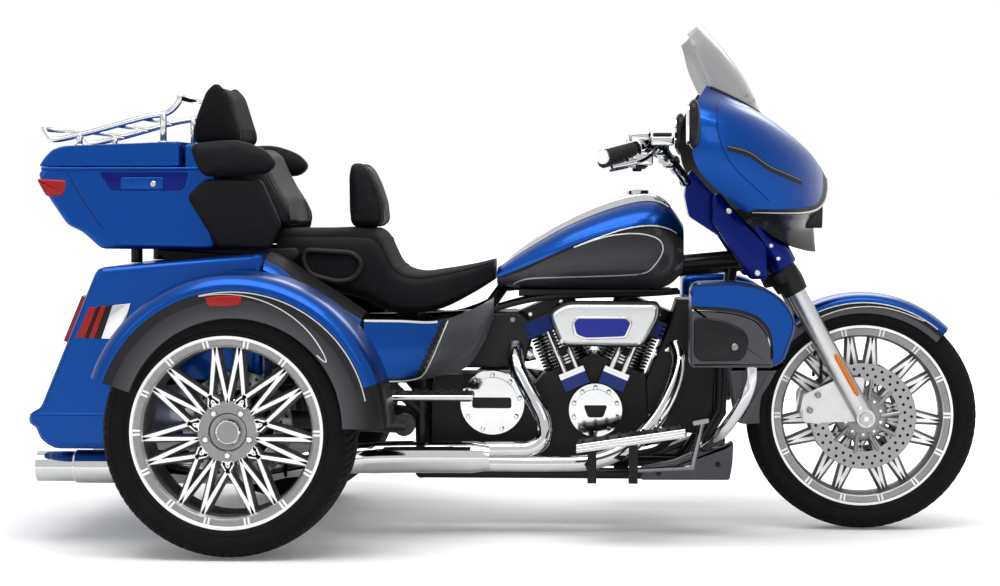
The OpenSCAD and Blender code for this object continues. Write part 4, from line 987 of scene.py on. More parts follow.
def make_pads():
    """Passenger back rest, arm rests, speaker sides and the head pad on the top box."""
    x0 = REAR_AXLE[0]
    def at(pts):
        return [(x0 + p[0], p[1]) for p in pts]
    wing = fillet(at([(-158, 923), (-112, 970), (42, 970), (96, 850), (64, 780), (-74, 786)]), 18, 8)
    arm = fillet(at([(-150, 1064), (-20, 1076), (60, 1046), (88, 1012), (62, 984), (-112, 976),
                     (-132, 1010)]), 34, 8)
    back = fillet(at([(-84, 850), (104, 846), (104, 878), (86, 910), (62, 946), (38, 992), (16, 1042),
                      (-4, 1060), (-84, 1056)]), 16, 6)
    fin = fillet(at([(-168, 1065), (-164, 1130), (-132, 1212), (-106, 1234), (-78, 1206),
                     (-34, 1065)]), 46, 8)
    for s, side in SIDE_NAMES:
        b = Build().pillow(wing, s * (BOX_HALF + 0.5), s * (BOX_HALF + 37), 14, 6, crown=2)
        b.piece("speaker_side_" + side, "chassis", "leather", "seat_cover", ["tour_pads"] if s < 0 else [],
                sharp=60)
        b = Build().pillow(arm, s * (BOX_HALF + 0.5), s * (BOX_HALF + 52), 20, 8, crown=2)
        pad = b.piece("arm_rest_" + side, "chassis", "leather", "seat_cover", sharp=60)
        swell(pad, 0.006)
    b = Build().pillow(back, -262, 262, 24, 8)
    pad = b.piece("passenger_back_pad", "chassis", "leather", "seat_cover", sharp=60)
    swell(pad, 0.009, PASSENGER_SEAMS)
    b = Build().pillow(fin, -178, 178, 20, 8, crown=3)
    pad = b.piece("head_pad", "chassis", "suede", "seat_cover", sharp=60)
    swell(pad, 0.004, HEAD_SEAMS)
    b = Build()
    for outline, seams in ((back, PASSENGER_SEAMS), (fin, HEAD_SEAMS)):
        for y in seams:
            b.tube([(p[0], y, p[1]) for p in outline + outline[:1]], 2.2, 8)
    b.piece("pad_piping", "chassis", "suede", "seat_cover")


# Fenders

FENDER_CENTRE = (-681.0, 341.0)


def make_rear_fenders():
    # radius, distance out from the body
    roof = [(377, 0), (384, 24), (391, 60), (391, 190), (389, 216), (383, 236), (372, 250), (361, 259),
            (350, 260), (346, 257), (316, 253.5), (276, 252), (276, 247), (316, 248.5), (345, 246),
            (352, 242), (374, 228), (384, 210), (386, 60), (372, 0)]
    side_from, band_from = 8, 10

    def pick(angle, j):
        if angle < 17:
            return 2
        return 0 if j < side_from + 1 else 2 if j == band_from else 1
    for s, side in SIDE_NAMES:
        b = Build()
        profile = [(r, s * w) for r, w in fillet(roof, 8, 3)]
        span = len(profile) // len(roof)

        def part(angle, j):
            return pick(angle, j // span)
        b.revolve(profile, FENDER_CENTRE, s * BODY_HALF, 0, 161, 120, pick=part)
        b.piece("rear_fender_" + side, "chassis", "blue gloss_black fender_charcoal", "blue_paint",
                ["fender_" + side], sharp=40)
        b = Build()
        # radius and angle along each line, from the crown to the front
        for line, out in (([(344, 104), (344, 60), (344, 30), (343, 12)], 257.2),
                          ([(343, 104), (333, 80), (317, 58), (303, 44), (293, 36), (286, 37),
                            (283, 41)], 253.2)):
            b.tube([polar(FENDER_CENTRE, r, radians(a),
                          s * (BODY_HALF + out + max(r - 317, 0) * 0.1 * (out < 255)))
                    for r, a in smooth(line, 90)], 1.6, 8)
        b.piece("fender_pinstripe_" + side, "chassis", "stripe", "blue_paint")
        lamp = fillet([(-748, 672), (-700, 676), (-654, 674), (-660, 652), (-700, 648), (-742, 650)], 8, 5)
        b = Build().pillow(lamp, s * 683, s * 690.4, 3, 4)
        b.piece("side_marker_" + side, "chassis", "red_lens", "red_lens")


def make_front_fender():
    half_w, r = 76, 341
    arc = [(r - 26 + 26 * sin(t) ** 0.7, half_w * cos(t)) for t in steps(40, 0, pi)]
    skirt = [(r - 56, half_w), (r - 40, half_w)]
    outer = skirt + arc + [(p[0], -p[1]) for p in reversed(skirt)]
    inner = [(p[0] - 4, p[1] * (half_w - 4) / half_w) for p in reversed(outer[1:-1])]
    inner = [(r - 56, -(half_w - 4))] + inner + [(r - 56, half_w - 4)]
    profile = outer + inner

    def pick(angle, j):
        if j >= len(outer) - 1 or angle > 126:
            return 2
        depth = r - min(profile[j][0], profile[j + 1][0])
        return 0 if depth < 27 else 1 if depth < 43 else 2
    b = Build().revolve(profile, FRONT_AXLE, 0, 46, 184, 120, pick=pick)
    b.piece("front_fender_shell", "steering", "blue gloss_black charcoal", "blue_paint",
            ["front_fender"], sharp=45)
    b = Build()

    def at(radius, y, degrees):
        a = radians(degrees)
        return polar(FRONT_AXLE, radius, a, y)
    for s in SIDES:
        b.tube([at(r - 27, s * (half_w + 0.2), a) for a in steps(70, 50, 126)], 1.6, 8)
        hook = smooth([(r - 24, 124), (r - 34, 122), (r - 42, 116), (r - 40, 100), (r - 36, 80), (r - 34, 64),
                       (r - 30, 58)], 40)
        b.tube([at(q, s * (half_w + 0.2), a) for q, a in hook], 1.4, 8)
    b.piece("front_fender_pinstripes", "steering", "stripe", "blue_paint")


# Panels of the middle

# y of the inner and outer faces of each lower fairing, its blade, its skirt and its glove door
LOWER_Y, BLADE_Y, SKIRT_Y, DOOR_Y = (246, 438), (262, 384), (243, 439.4), (430, 444)
LOWER_OUTLINE = [(478, 698), (600, 702), (670, 688), (722, 654), (753, 594), (722, 500), (700, 482),
                 (478, 482)]
BLADE_OUTLINE = [(722, 502), (685, 433), (645, 370), (622, 327), (600, 330), (586, 400), (572, 484),
                 (700, 484)]
LOWER_SKIRT = [(477, 640), (580, 634), (640, 618), (668, 596), (684, 570), (690, 530), (692, 486), (688, 479),
               (477, 479)]
GLOVE_DOOR = [(484, 614), (560, 604), (616, 578), (628, 548), (612, 498), (500, 496), (484, 512)]
# Outer and inner edge of the painted band on the outer face
BAND_OUTER = [(480, 690), (590, 694), (662, 680), (708, 650), (738, 596), (716, 520), (706, 502)]
BAND_INNER = [(480, 640), (580, 634), (640, 618), (668, 596), (684, 570), (690, 530), (690, 502)]


def make_lower_fairings():
    outer, inner = smooth(BAND_OUTER, 40), smooth(BAND_INNER, 40)
    for s, side in SIDE_NAMES:
        b = Build()
        for outline, corner, parts, (y0, y1), edge, n, mat in (
                (LOWER_OUTLINE, 30, 8, LOWER_Y, 22, 8, 0), (BLADE_OUTLINE, 10, 5, BLADE_Y, 16, 6, 1),
                (LOWER_SKIRT, 6, 5, SKIRT_Y, 10, 5, 1)):
            b.pillow(fillet(outline, corner, parts), s * y0, s * y1, edge, n, mat)
        b.piece("lower_fairing_" + side, "chassis", "blue charcoal", "charcoal_paint",
                ["lower_fairings"] if s < 0 else [], sharp=40)

        def band(t, v):
            x, z = mix(curve(t, outer), curve(t, inner), v)
            return (x, s * (LOWER_Y[1] + 0.6), z)
        b = Build().sheet(band, steps(60), steps(4), 2.0 * -s, mat=0)
        for v, width, mat in ((1.03, 16, 1), (1.22, 4, 2), (-0.03, 4, 1)):
            b.ribbon(band, [(t, v) for t in steps(40)], width, 0.8, n=60, mat=mat)
        b.piece("lower_fairing_band_" + side, "chassis", "blue gloss_black stripe", "charcoal_paint")
        b = Build().pillow(fillet(GLOVE_DOOR, 20, 6), s * DOOR_Y[0], s * DOOR_Y[1], 6, 5, crown=2)
        b.rod((590, s * 440, 534), (590, s * 448, 534), 9, 1)
        b.piece("glove_door_" + side, "chassis", "gloss_black chrome_dark", "charcoal_paint")


def make_side_covers():
    # x, distance from the middle, bottom, top
    rows = [(-378, 424, 436, 600), (-290, 366.2, 430, 596), (-195, 290.8, 440, 590), (-110, 216, 470, 616),
            (-48, 172, 590, 650)]
    for s, side in SIDE_NAMES:
        def face(u, v):
            x, out, low, top = curve(u, rows)
            return (x, s * (out - 14 * (2 * v - 1) ** 2), mix(low, top, v))

        def pick(u, v):
            edge = mix(0.34, 0.53, v)
            return 0 if v > 0.08 and u < edge else 1 if u < edge + 0.04 else 2
        b = Build().sheet(face, steps(60), steps(48), -6 * s, pick=pick, back=1)
        b.rod((-250, s * 157, 500), (-250, s * 330, 500), 9, 1)
        b.piece("side_cover_" + side, "chassis", "blue gloss_black charcoal", "blue_paint",
                ["side_covers"] if s < 0 else [], bevel=1.5)
        b = Build()
        line = [(0.0, 0.025), (0.2, 0.025), (0.35, 0.03), (0.41, 0.1), (0.46, 0.32), (0.52, 0.65),
                (0.575, 0.96)]
        b.ribbon(face, line, 3.2, 0.7, n=70)
        b.ribbon(face, [(0.0, 0.985), (0.25, 0.985), (0.5, 0.985)], 6, 1.0, n=50)
        b.piece("side_cover_pinstripe_" + side, "chassis", "stripe", "blue_paint")


# Exhaust, bars and rack

def make_exhaust():
    # Height of the ports along the cylinders, radius of the pipes
    port, r = 250, 22
    rear = [in_cylinder(-1, (-78, -62, port)), in_cylinder(-1, (-92, -62, port))]
    front = [in_cylinder(1, (78, -62, port)), in_cylinder(1, (92, -62, port))]
    rear += smooth([(8, -82, 512), (12, -140, 465), (44, -176, 398), (84, -195, 325), (88, -202, 268),
                    (55, -207, 240), (0, -210, 237), (-70, -212, 236)], 60)
    front += smooth([(446, -72, 518), (458, -108, 470), (440, -145, 400), (392, -175, 315), (320, -196, 245),
                     (225, -208, 206), (110, -212, 200), (-70, -215, 200)], 60)
    body = smooth([(-58, -214, 217), (-250, -218, 217), (-400, -232, 214), (-500, -290, 206),
                   (-600, -330, 200)], 50)
    radii = [36 + 8 * min(1, i / 4) - 16 * min(max((i - 22) / 20, 0), 1) for i in range(51)]
    cross = smooth([(-395, -215, 210), (-440, -120, 192), (-455, 60, 190), (-490, 240, 194),
                    (-600, 330, 200)], 50)
    b = Build().tube(rear, r, 24).tube(front, r, 24)
    b.tube(body, radii, 28)
    b.tube(cross, 24, 20, ref=(0, 0, 1))
    b.piece("header_pipes", "chassis", "chrome", "chrome", ["exhaust_pipes"], sharp=60)


def make_rack():
    x0 = REAR_AXLE[0]
    rail = smooth([(-572.5, 1112), (-560, 1090), (-536, 1078), (-440, 1098), (-300, 1136), (-230, 1150),
                   (-200, 1176), (-194, 1196)], 60)
    b = Build()
    for s in SIDES:
        b.tube([(x0 + p[0], s * RACK_HALF, p[1]) for p in rail], 8, 14)
        for x, low, high in ((-470, 1062, 1092), (-240, 1070, 1148)):
            b.rod((x0 + x, s * RACK_HALF, low), (x0 + x, s * RACK_HALF, high), 9)
            b.rod((x0 + x, s * RACK_HALF, low - 1), (x0 + x, s * RACK_HALF, low + 4), 15)
    for x, z, r in ((-440, 1098, 6), (-370, 1117, 6), (-300, 1136, 6), (-194, 1192, 8), (-570, 1107, 7)):
        b.rod((x0 + x, -RACK_HALF, z), (x0 + x, RACK_HALF, z), r, sides=16)
    b.piece("chrome_rack", "box_lid", "chrome", "chrome", ["luggage_rack"], sharp=50)


GRIP_OUT, GRIP_IN = Vector((249, 430, 1026)), Vector((332, 312, 1050))
# outline from the grip's hub in x and z, half width, rounded edge, material
CONTROL_CASES = [([(-24, 16), (34, 20), (34, 44), (-24, 40)], 22, 8, 1),
                 ([(-30, -26), (4, -30), (8, 8), (-26, 12)], 24, 6, 2)]
# low corner and high corner from the grip's hub in x and z, half width, material
CONTROL_BLOCKS = [((-18, -46), (40, -12), 26, 1), ((34, 6), (96, 30), 24, 1), ((40, 30), (90, 40), 20, 2),
                  ((-6, -56), (22, -44), 12, 2)]


def make_bars():
    b = Build()
    for s in SIDES:
        bend = smooth([(352, 284, 1055), (398, 205, 1058), (432, 120, 1022), (464, 80, 984),
                       (477, 64, 965)], 40)
        bend = [tuple(GRIP_OUT), tuple(GRIP_IN)] + bend[1:] + [(477, 50, 965)]
        b.tube([on_side(s, p) for p in bend], 14, 18, ref=(0, 0, 1))
    b.piece("chrome_bars", "steering", "chrome", "chrome", ["handlebar"], sharp=60)
    for s, side in SIDE_NAMES:
        b = Build()
        out, root = Vector(on_side(s, GRIP_OUT)), Vector(on_side(s, GRIP_IN))
        axis = (root - out).normalized()
        n = 40
        path = [out + axis * t * (root - out).length * 0.92 for t in steps(n)]
        b.tube(path, [18 + (0.8 if i % 4 < 2 else -0.4) for i in range(n + 1)], 24, 0, ref=(0, 0, 1))
        b.rod(out - axis * 5, out + axis * 2, 19, 1)
        hub = root + axis * 14
        b.rod(root - axis * 8, root + axis * 46, 28, 1)
        blocks = [(pts, wide, 8, 5, edge, mat) for pts, wide, edge, mat in CONTROL_CASES]
        blocks += [([(x0, z0), (x1, z0), (x1, z1), (x0, z1)], wide, 7, 4, 6, mat)
                   for (x0, z0), (x1, z1), wide, mat in CONTROL_BLOCKS]
        for pts, wide, corner, parts, edge, mat in blocks:
            outline = fillet([(hub[0] + x, hub[2] + z) for x, z in pts], corner, parts)
            b.pillow(outline, hub[1] - wide, hub[1] + wide, edge, 4, mat)
        for (x, y, z), r in (((398, 205, 1058), 21), ((432, 120, 1022), 19)):
            b.rod(on_side(s, (x - 14, y + 16, z)), on_side(s, (x + 14, y - 16, z - 6)), r, 1, 28, 3)
        pivot = root + axis * 27 + Vector((44, 0, 2))
        tip = out + Vector((22, 0, -26))
        bow = (pivot + tip) / 2 + Vector((20, s * 6, -8))
        lever = smooth([tuple(pivot), tuple(bow), tuple(tip)], 24)
        b.tube(lever, [8 - 2.5 * i / 24 for i in range(25)], 14, 1, ref=(0, 0, 1))
        b.rod(pivot - Vector((0, 0, 12)), pivot + Vector((0, 0, 12)), 11, 1)
        b.piece("grip_" + side, "steering", "rubber chrome case_black", "black_plastic",
                ["hand_controls"] if s < 0 else [], sharp=45)


def make_guard():
    b = Build()
    path = smooth([(520, 150.3, 250), (524, 200, 253), (532, 250, 262), (566, 364, 308), (612, 416, 384),
                   (632, 421, 440), (634, 420, 481.7)], 50)
    for s in SIDES:
        b.tube([on_side(s, p) for p in path], 16, 20, ref=(1, 0, 0))
    b.piece("chrome_guard", "chassis", "chrome", "chrome", ["engine_guard"], sharp=60)


# Tyres

# Radius and half width
FRONT_TYRE, FRONT_RIM = (318, 65), (250, 50)
REAR_TYRE, REAR_RIM = (325, 107.5), (247, 95)
TREAD_CUT = 5.0


def tyre_outline(r, w, rf, rw):
    """Half section from the bead to the middle of the tread, as radius and width."""
    h = r - rf
    crown = r - 0.16 * h if w > 90 else r - 0.2 * h
    knots = [(rf - 2, rw - 10), (rf + 2, rw), (rf + 0.3 * h, w - 2), (rf + 0.55 * h, w), (crown - 12, w - 4),
             (crown, w - 12), (mix(crown, r, 0.62), w * 0.62), (mix(crown, r, 0.9), w * 0.32), (r, 0)]
    return smooth(knots, 44)


def make_tyre(name, body, centre, y, r, w, rf, rw, blocks, node):
    half = tyre_outline(r, w, rf, rw)
    section = half + [(p[0], -p[1]) for p in reversed(half[:-1])]
    section += [(rf - 14, -(rw - 12)), (rf - 14, rw - 12)]
    count, m = blocks * 4, len(section)
    verts = []
    for i in range(count):
        a = 2 * pi * i / count
        for q, x in section:
            k = abs(x) / w
            across = 0.25 < k < 0.98 and (i + k * 5) % 4 < 1
            round_it = abs(k - 0.16) < 0.03 or abs(k - 0.5) < 0.03
            cut = TREAD_CUT if q > r - 0.30 * (r - rf) and (across or round_it) else 0.0
            verts.append(polar(centre, q - cut, a, y + x))
    faces = [(i * m + j, i * m + (j + 1) % m, (i + 1) % count * m + (j + 1) % m, (i + 1) % count * m + j)
             for i in range(count) for j in range(m)]
    b = Build().add(verts, faces)
    for k, rib in ((0.16, 1.2), (0.62, 0.9)):
        q = mix(rf, r, k)
        x = max(p[1] for p in half if abs(p[0] - q) < 6)
        for s in SIDES:
            b.tube([polar(centre, q, a, y + s * (x - 0.2)) for a in steps(120, 0, 2 * pi)], rib, 8)
    b.piece(name, body, "tyre", "tyre", [node], sharp=40)


def make_tyres():
    make_tyre("front_tread", "front_wheel", FRONT_AXLE, 0, *FRONT_TYRE, *FRONT_RIM, 72, "front_tyre")
    for s, side in SIDE_NAMES:
        make_tyre("rear_tread_" + side, "rear_wheel_" + side, REAR_AXLE, s * REAR_HALF, *REAR_TYRE, *REAR_RIM,
                  90, "rear_tyre_" + side)


# Engine, fork and fittings

def bolt(b, p, s, r=6, h=5, mat=0):
    """Hexagon screw head standing out along y, s is the side it faces."""
    b.rod((p[0], p[1] - s * 1.5, p[2]), (p[0], p[1] + s * h * 0.35, p[2]), r * 1.35, mat, 20)
    b.rod((p[0], p[1], p[2]), (p[0], p[1] + s * h, p[2]), r, mat, 6, 0.6)


def bolt_circle(b, centre, y, s, radius, count, turn=0.0, r=6, mat=0):
    for i in range(count):
        bolt(b, polar(centre, radius, radians(turn + 360 * i / count), y), s, r, mat=mat)


AIR_OUTLINE = [(98, 606), (149, 638), (404, 638), (404, 595), (357, 514), (133, 518)]


def make_engine_trim():
    """Air cleaner, screws, plates on the covers, and plug caps."""
    b = Build()
    b.pillow(fillet(AIR_OUTLINE, 24, 7), -112, -192, 6, 4, 0)
    inner = inset(fillet(AIR_OUTLINE, 24, 7), 5)
    b.pillow(inner, -188, -214, 12, 6, 1, crown=1)
    plate = [(176, 599), (316, 599), (330, 584), (312, 540), (200, 536), (170, 548), (164, 584)]
    b.pillow(fillet(plate, 8, 6), -208, -217, 2.5, 3, 2)
    plate = [(180, 594), (312, 594), (323, 582), (308, 546), (202, 542), (177, 552), (171, 582)]
    b.pillow(fillet(plate, 8, 6), -210, -218, 1.5, 3, 3)
    for x, z in ((132, 600), (386, 622), (346, 530), (138, 532)):
        bolt(b, (x, -212, z), -1, 5, 4, 2)
    b.piece("air_cleaner_cover", "chassis", "case_black alloy chrome navy_inset", "satin_alloy",
            ["air_cleaner"], sharp=45)
    b = Build()
    bolt_circle(b, (229, 337), -138.5, -1, 62, 10, 18, 4.5)
    bolt_circle(b, (-55, 356), -135.5, -1, 76, 9, 10, 4.5)
    b.pillow(fillet([(196, 352), (262, 352), (250, 318), (208, 318)], 8, 5), -136, -141, 2, 3, 1)
    b.pillow(fillet([(-110, 372), (-2, 372), (-2, 342), (-110, 342)], 8, 5), -133, -138, 2, 3, 1)
    for s in SIDES:
        for q in (-1, 1):
            for side in SIDES:
                p = in_cylinder(q, (side * 46, s * 63, 352))
                b.rod(p, (p[0], p[1] + s * 5, p[2]), 6, 0, 6, 0.6)
    b.piece("engine_fasteners", "chassis", "chrome case_black", "chrome")
    b = Build()
    for q in SIDES:
        p0, p1 = in_cylinder(q, (0, -96, 224)), in_cylinder(q, (0, -124, 224))
        b.rod(p0, p1, 9, 0, 20)
        b.rod(p1, (p1[0], p1[1] - 16, p1[2]), 11, 1, 20)
        end = (262 if q > 0 else 190, -112, 560)
        lead = [(p1[0], p1[1] - 14, p1[2]), (mix(p1[0], end[0], 0.4), -146, p1[2] + 26), end]
        b.tube(smooth(lead, 20), 4, 10, 1)
    b.piece("spark_plug_caps", "chassis", "steel rubber", "chrome")


def make_fork_trim():
    """Seals, collars, reflectors, axle nuts, brake pipes and bolts of the fork."""
    b = Build()
    for s in SIDES:
        b.tube([fork_leg(d, s * FORK_HALF) for d in steps(12, 392, 470)],
               [34 + 4 * sin(i * pi / 12) for i in range(13)], 28, 0)
        b.tube([fork_leg(d, s * FORK_HALF) for d in (470, 474, 560, 608)], [40, 44, 44, 38], 28, 1)
        for d in (500, 540):
            p = fork_leg(d, s * 158)
            b.rod(p, (p[0], p[1] + s * 5, p[2]), 6, 2, 16)
        b.tube([(p[0] + 9, p[1], p[2] + 5) for p in (fork_leg(d, s * 137) for d in steps(10, 66, 196))],
               [5] + [8] * 9 + [5], 14, 3)
        b.rod((FRONT_AXLE[0], s * 141, FRONT_AXLE[1]), (FRONT_AXLE[0], s * 150, FRONT_AXLE[1]), 20, 2, 6)
        for d in (-18, 34):
            p = fork_leg(d, s * 140)
            b.rod((p[0], s * 136, p[2]), (p[0], s * 147, p[2]), 6, 2, 12)
    b.piece("fork_trim", "steering", "case_black deep_blue chrome amber_lens", "black_paint", sharp=45)
    b = Build()
    for s in SIDES:
        pipe = smooth([(FRONT_AXLE[0] - 120, s * 104, FRONT_AXLE[1] + 96), (840, s * 92, 520),
                       (770, s * 84, 640), (690, s * 80, 780)], 40)
        b.tube(pipe, 4.5, 10)
    b.piece("front_brake_pipes", "steering", "rubber", "black_paint")
    b = Build()
    for s in SIDES:
        for dx, dz in ((-58, 92), (-128, 62), (-150, 20)):
            bolt(b, (FRONT_AXLE[0] + dx, s * 122, FRONT_AXLE[1] + dz), s, 6, 5)
    b.piece("caliper_bolts", "steering", "chrome_dark", "satin_alloy")


SPOKE_PAIRS = 7
# Width of a spoke on its face and on its back
SPOKE_FACE, SPOKE_BACK = 8.5, 20.0


def spoke_bar(b, centre, y, out, depth, start, end):
    """Bar of a wheel's lattice between two places given as radius and angle, narrow and bright in front."""
    p, q = (Vector((centre[0] + r * cos(a), centre[1] + r * sin(a))) for r, a in (start, end))
    along = (q - p).normalized()
    side = Vector((-along[1], along[0]))
    rows = []
    for w, level in ((SPOKE_FACE - 1.6, y), (SPOKE_FACE, y - out * 0.9), (SPOKE_BACK, y - out * depth)):
        for e, grow in ((p, 1.0), (q, 1.35)):
            rows += [(e[0] + side[0] * w * k * grow / 2, level, e[1] + side[1] * w * k * grow / 2)
                     for k in SIDES]
    faces = [(0, 1, 3, 2), (8, 9, 11, 10), (0, 4, 6, 2), (1, 5, 7, 3), (4, 8, 10, 6), (5, 9, 11, 7),
             (0, 1, 5, 4), (4, 5, 9, 8), (2, 3, 7, 6), (6, 7, 11, 10)]
    b.add(rows, faces, [1, 0, 1, 1, 0, 0, 0, 0, 0, 0])


def lattice(b, centre, y, out, depth, r_hub, r_rim):
    """Crossed spokes of a wheel, y is the place of their face and out the side it looks to."""
    step = 2 * pi / SPOKE_PAIRS
    foot, over = step * 0.16, step * 0.235
    for i in range(SPOKE_PAIRS):
        for k in SIDES:
            a = pi / 2 + step * i
            tip = (r_rim, a + k * foot)
            spoke_bar(b, centre, y, out, depth, (r_hub - 3, a), tip)
            spoke_bar(b, centre, y, out, depth, (r_hub - 3, a + k * (step / 2 + over - foot * 0.2)), tip)


def rim_section(rf, rw, both):
    """Outline of a rim as radius and width, with the material of each stretch."""
    face = [(rf - 3, rw - 9.6, 1), (rf, rw - 5, 1), (rf, rw, 1), (rf - 7, rw, 1), (rf - 9, rw - 3, 0),
            (rf - 24, rw - 7, 0), (rf - 27, rw - 10, 1), (rf - 30, rw - 24, 2), (rf - 34, rw - 34, 2)]
    back = [(r, -w, m if both else 2) for r, w, m in reversed(face)]
    return face + back + [(rf - 16, -(rw - 9.6), 2), (rf - 16, rw - 9.6, 2)]


def make_rim(b, centre, y, out, rf, rw, both=False):
    section = rim_section(rf, rw, both)
    b.revolve([(r, out * w) for r, w, _ in section], centre, y, 0, 360, 144, pick=lambda a, j: section[j][2])
    step = 2 * pi / (2 * SPOKE_PAIRS)
    for i in range(2 * SPOKE_PAIRS):
        a = pi / 2 + step * (i + 0.5)
        for side in (SIDES if both else (out,)):
            level = y + side * (rw - 4)
            for turn in (-0.022, 0.022):
                ends = [polar(centre, r, a + turn, level - side * drop) for r, drop in ((rf - 7, -2),
                                                                                        (rf - 26, 4))]
                b.rod(*ends, 3.2, 1, 10)


def make_disc(b, centre, y, r_in, r_out, mat):
    section = [(r_in, -2.5), (r_in, 2.5), (r_out - 1, 2.5), (r_out, 1.5), (r_out, -1.5), (r_out - 1, -2.5)]
    b.revolve(section, centre, y, 0, 360, 96, mat)
    for i in range(10):
        a = 2 * pi * i / 10
        b.rod(polar(centre, 48, a, y), polar(centre, r_in + 6, a + 0.1, y), 6, 0, 10)


def make_leg_covers():
    plate = fillet([(548, 930), (566, 934), (590, 902), (690, 797), (697, 700), (648, 698),
                    (544, 858)], 10, 5)
    b = Build()
    for s in SIDES:
        b.pillow(plate, s * 140, s * 160, 6, 5, 0)
        for x, z in ((590, 884), (668, 716)):
            bolt(b, (x, s * 159, z), s, 6, 5, 1)
    b.piece("fork_leg_covers", "steering", "deep_blue chrome", "blue_paint")


def make_dark_fittings():
    """Oil cooler on the down tubes, wiring tray under the tank and battery case ahead of the rear wheel."""
    b = Build()
    cooler = [(452, 640), (560, 640), (556, 300), (520, 268), (420, 276), (372, 330), (366, 416), (378, 446),
              (402, 503), (432, 577)]
    b.pillow(fillet(cooler, 6, 5), -88, 88, 8, 4, 0)
    for k in range(16):
        z = 318 + 20 * k
        b.rod((470, -80, z), (470, 80, z), 5, 1, 10)
    b.pillow(fillet([(16, 648), (440, 660), (440, 668), (16, 668)], 4, 4), -84, 84, 3, 3, 0)
    b.pillow(fillet([(-150, 600), (20, 606), (60, 560), (30, 450), (-150, 450)], 20, 5), -96, 96, 10, 4, 0)
    for x, z in ((-120, 580), (0, 584), (10, 470)):
        for s in SIDES:
            bolt(b, (x, s * 95, z), s, 6, 5, 2)
    for s in SIDES:
        hose = smooth([(470, s * 60, 330), (440, s * 100, 260), (380, s * 110, 222), (300, s * 104, 214)], 30)
        b.tube(hose, 9, 12, 1)
        loom = smooth([(-60, s * 90, 610), (60, s * 100, 640), (200, s * 92, 650), (360, s * 84, 654),
                       (460, s * 60, 660)], 40)
        b.tube(loom, 7, 12, 1)
    b.piece("dark_fittings", "chassis", "case_black rubber chrome_dark", "black_case")


def make_wheels():
    for s, side in SIDE_NAMES:
        b = Build()
        y = s * REAR_HALF
        face = y + s * 72
        make_rim(b, REAR_AXLE, y, s, *REAR_RIM)
        lattice(b, REAR_AXLE, face, s, 26, 78, 222)
        hub = [(21, -80), (42, -80), (42, 38), (66, 42), (80, 50), (80, 66), (76, 70), (50, 71), (46, 64),
               (21, 62)]
        b.revolve([(r, s * w) for r, w in hub], REAR_AXLE, y, 0, 360, 72, mat=0)
        make_disc(b, REAR_AXLE, y - s * 85, 96, 145, 3)
        b.revolve([(21, -3), (21, 3), (60, 3), (60, -3)], REAR_AXLE, y - s * 83, 0, 360, 48, 0)
        for i in range(5):
            a = radians(54 + 72 * i)
            p = polar(REAR_AXLE, 59, a, face - s * 6)
            b.rod(p, (p[0], p[1] + s * 6, p[2]), 11, 0, 24)
            b.rod(p, (p[0], p[1] + s * 13, p[2]), 8, 4, 6, 1.2)
        cap = [(0.5, 0), (33, 0), (33, 8), (30, 11), (27, 9), (24, 9), (12, 12), (0.5, 13)]
        b.revolve([(r, s * w) for r, w in cap], REAR_AXLE, face - s * 8, 0, 360, 48,
                  pick=lambda a, j: 4 if j in (2, 3) else 0)
        for i in range(SPOKE_PAIRS):
            a = pi / 2 + 2 * pi * (i + 0.5) / SPOKE_PAIRS
            corner = [(r, a + d) for r, d in ((80, -0.17), (80, 0.17), (104, 0.0))]
            for start, end in zip(corner, corner[1:] + corner[:1]):
                spoke_bar(b, REAR_AXLE, face, s, 18, start, end)
        b.piece("lattice_wheel_" + side, "rear_wheel_" + side, "forged bright barrel rear_wheel chrome",
                "wheel_alloy", ["rear_wheel_" + side], sharp=30)
    b = Build()
    make_rim(b, FRONT_AXLE, 0, 1, *FRONT_RIM, True)
    for s in SIDES:
        lattice(b, FRONT_AXLE, s * 13, s, 13, 72, 224)
        make_disc(b, FRONT_AXLE, s * 70, 98, 146, 3)
        for i in range(10):
            a = radians(18 + 36 * i)
            p = polar(FRONT_AXLE, 50, a, s * 70)
            b.rod(p, (p[0], p[1] + s * 7, p[2]), 5, 4, 6, 0.6)
    hub = [(12.8, -82), (32, -82), (32, -72), (58, -72), (58, -67), (34, -64), (34, -32), (70, -28),
           (74, -20), (74, 20), (70, 28), (34, 32), (34, 64), (58, 67), (58, 72), (32, 72), (32, 82),
           (12.8, 82)]
    b.revolve(hub, FRONT_AXLE, 0, 0, 360, 64, 0)
    b.piece("lattice_wheel_front", "front_wheel", "forged bright barrel front_wheel chrome",
            "wheel_alloy", ["front_wheel"], sharp=30)


# y of the inner and outer faces of each spoiler panel
SPOILER_IN, SPOILER_OUT = 156, 215


def make_spoiler():
    outline = fillet([(352, 156), (592, 157), (600, 204), (602, 262), (572, 244), (506, 234), (440, 206),
                      (352, 188)], 8, 5)
    b = Build()
    for s in SIDES:
        b.pillow(outline, s * SPOILER_IN, s * SPOILER_OUT, 6, 5, 0)
        for x, z in ((400, 176), (560, 200)):
            bolt(b, (x, s * (SPOILER_OUT - 1), z), s, 6, 5, 1)
    b.piece("spoiler_panels", "chassis", "charcoal case_black", "charcoal_paint", ["chin_spoiler"])


BOARD_LEAN, BOARD_THICK = radians(8.5), 22


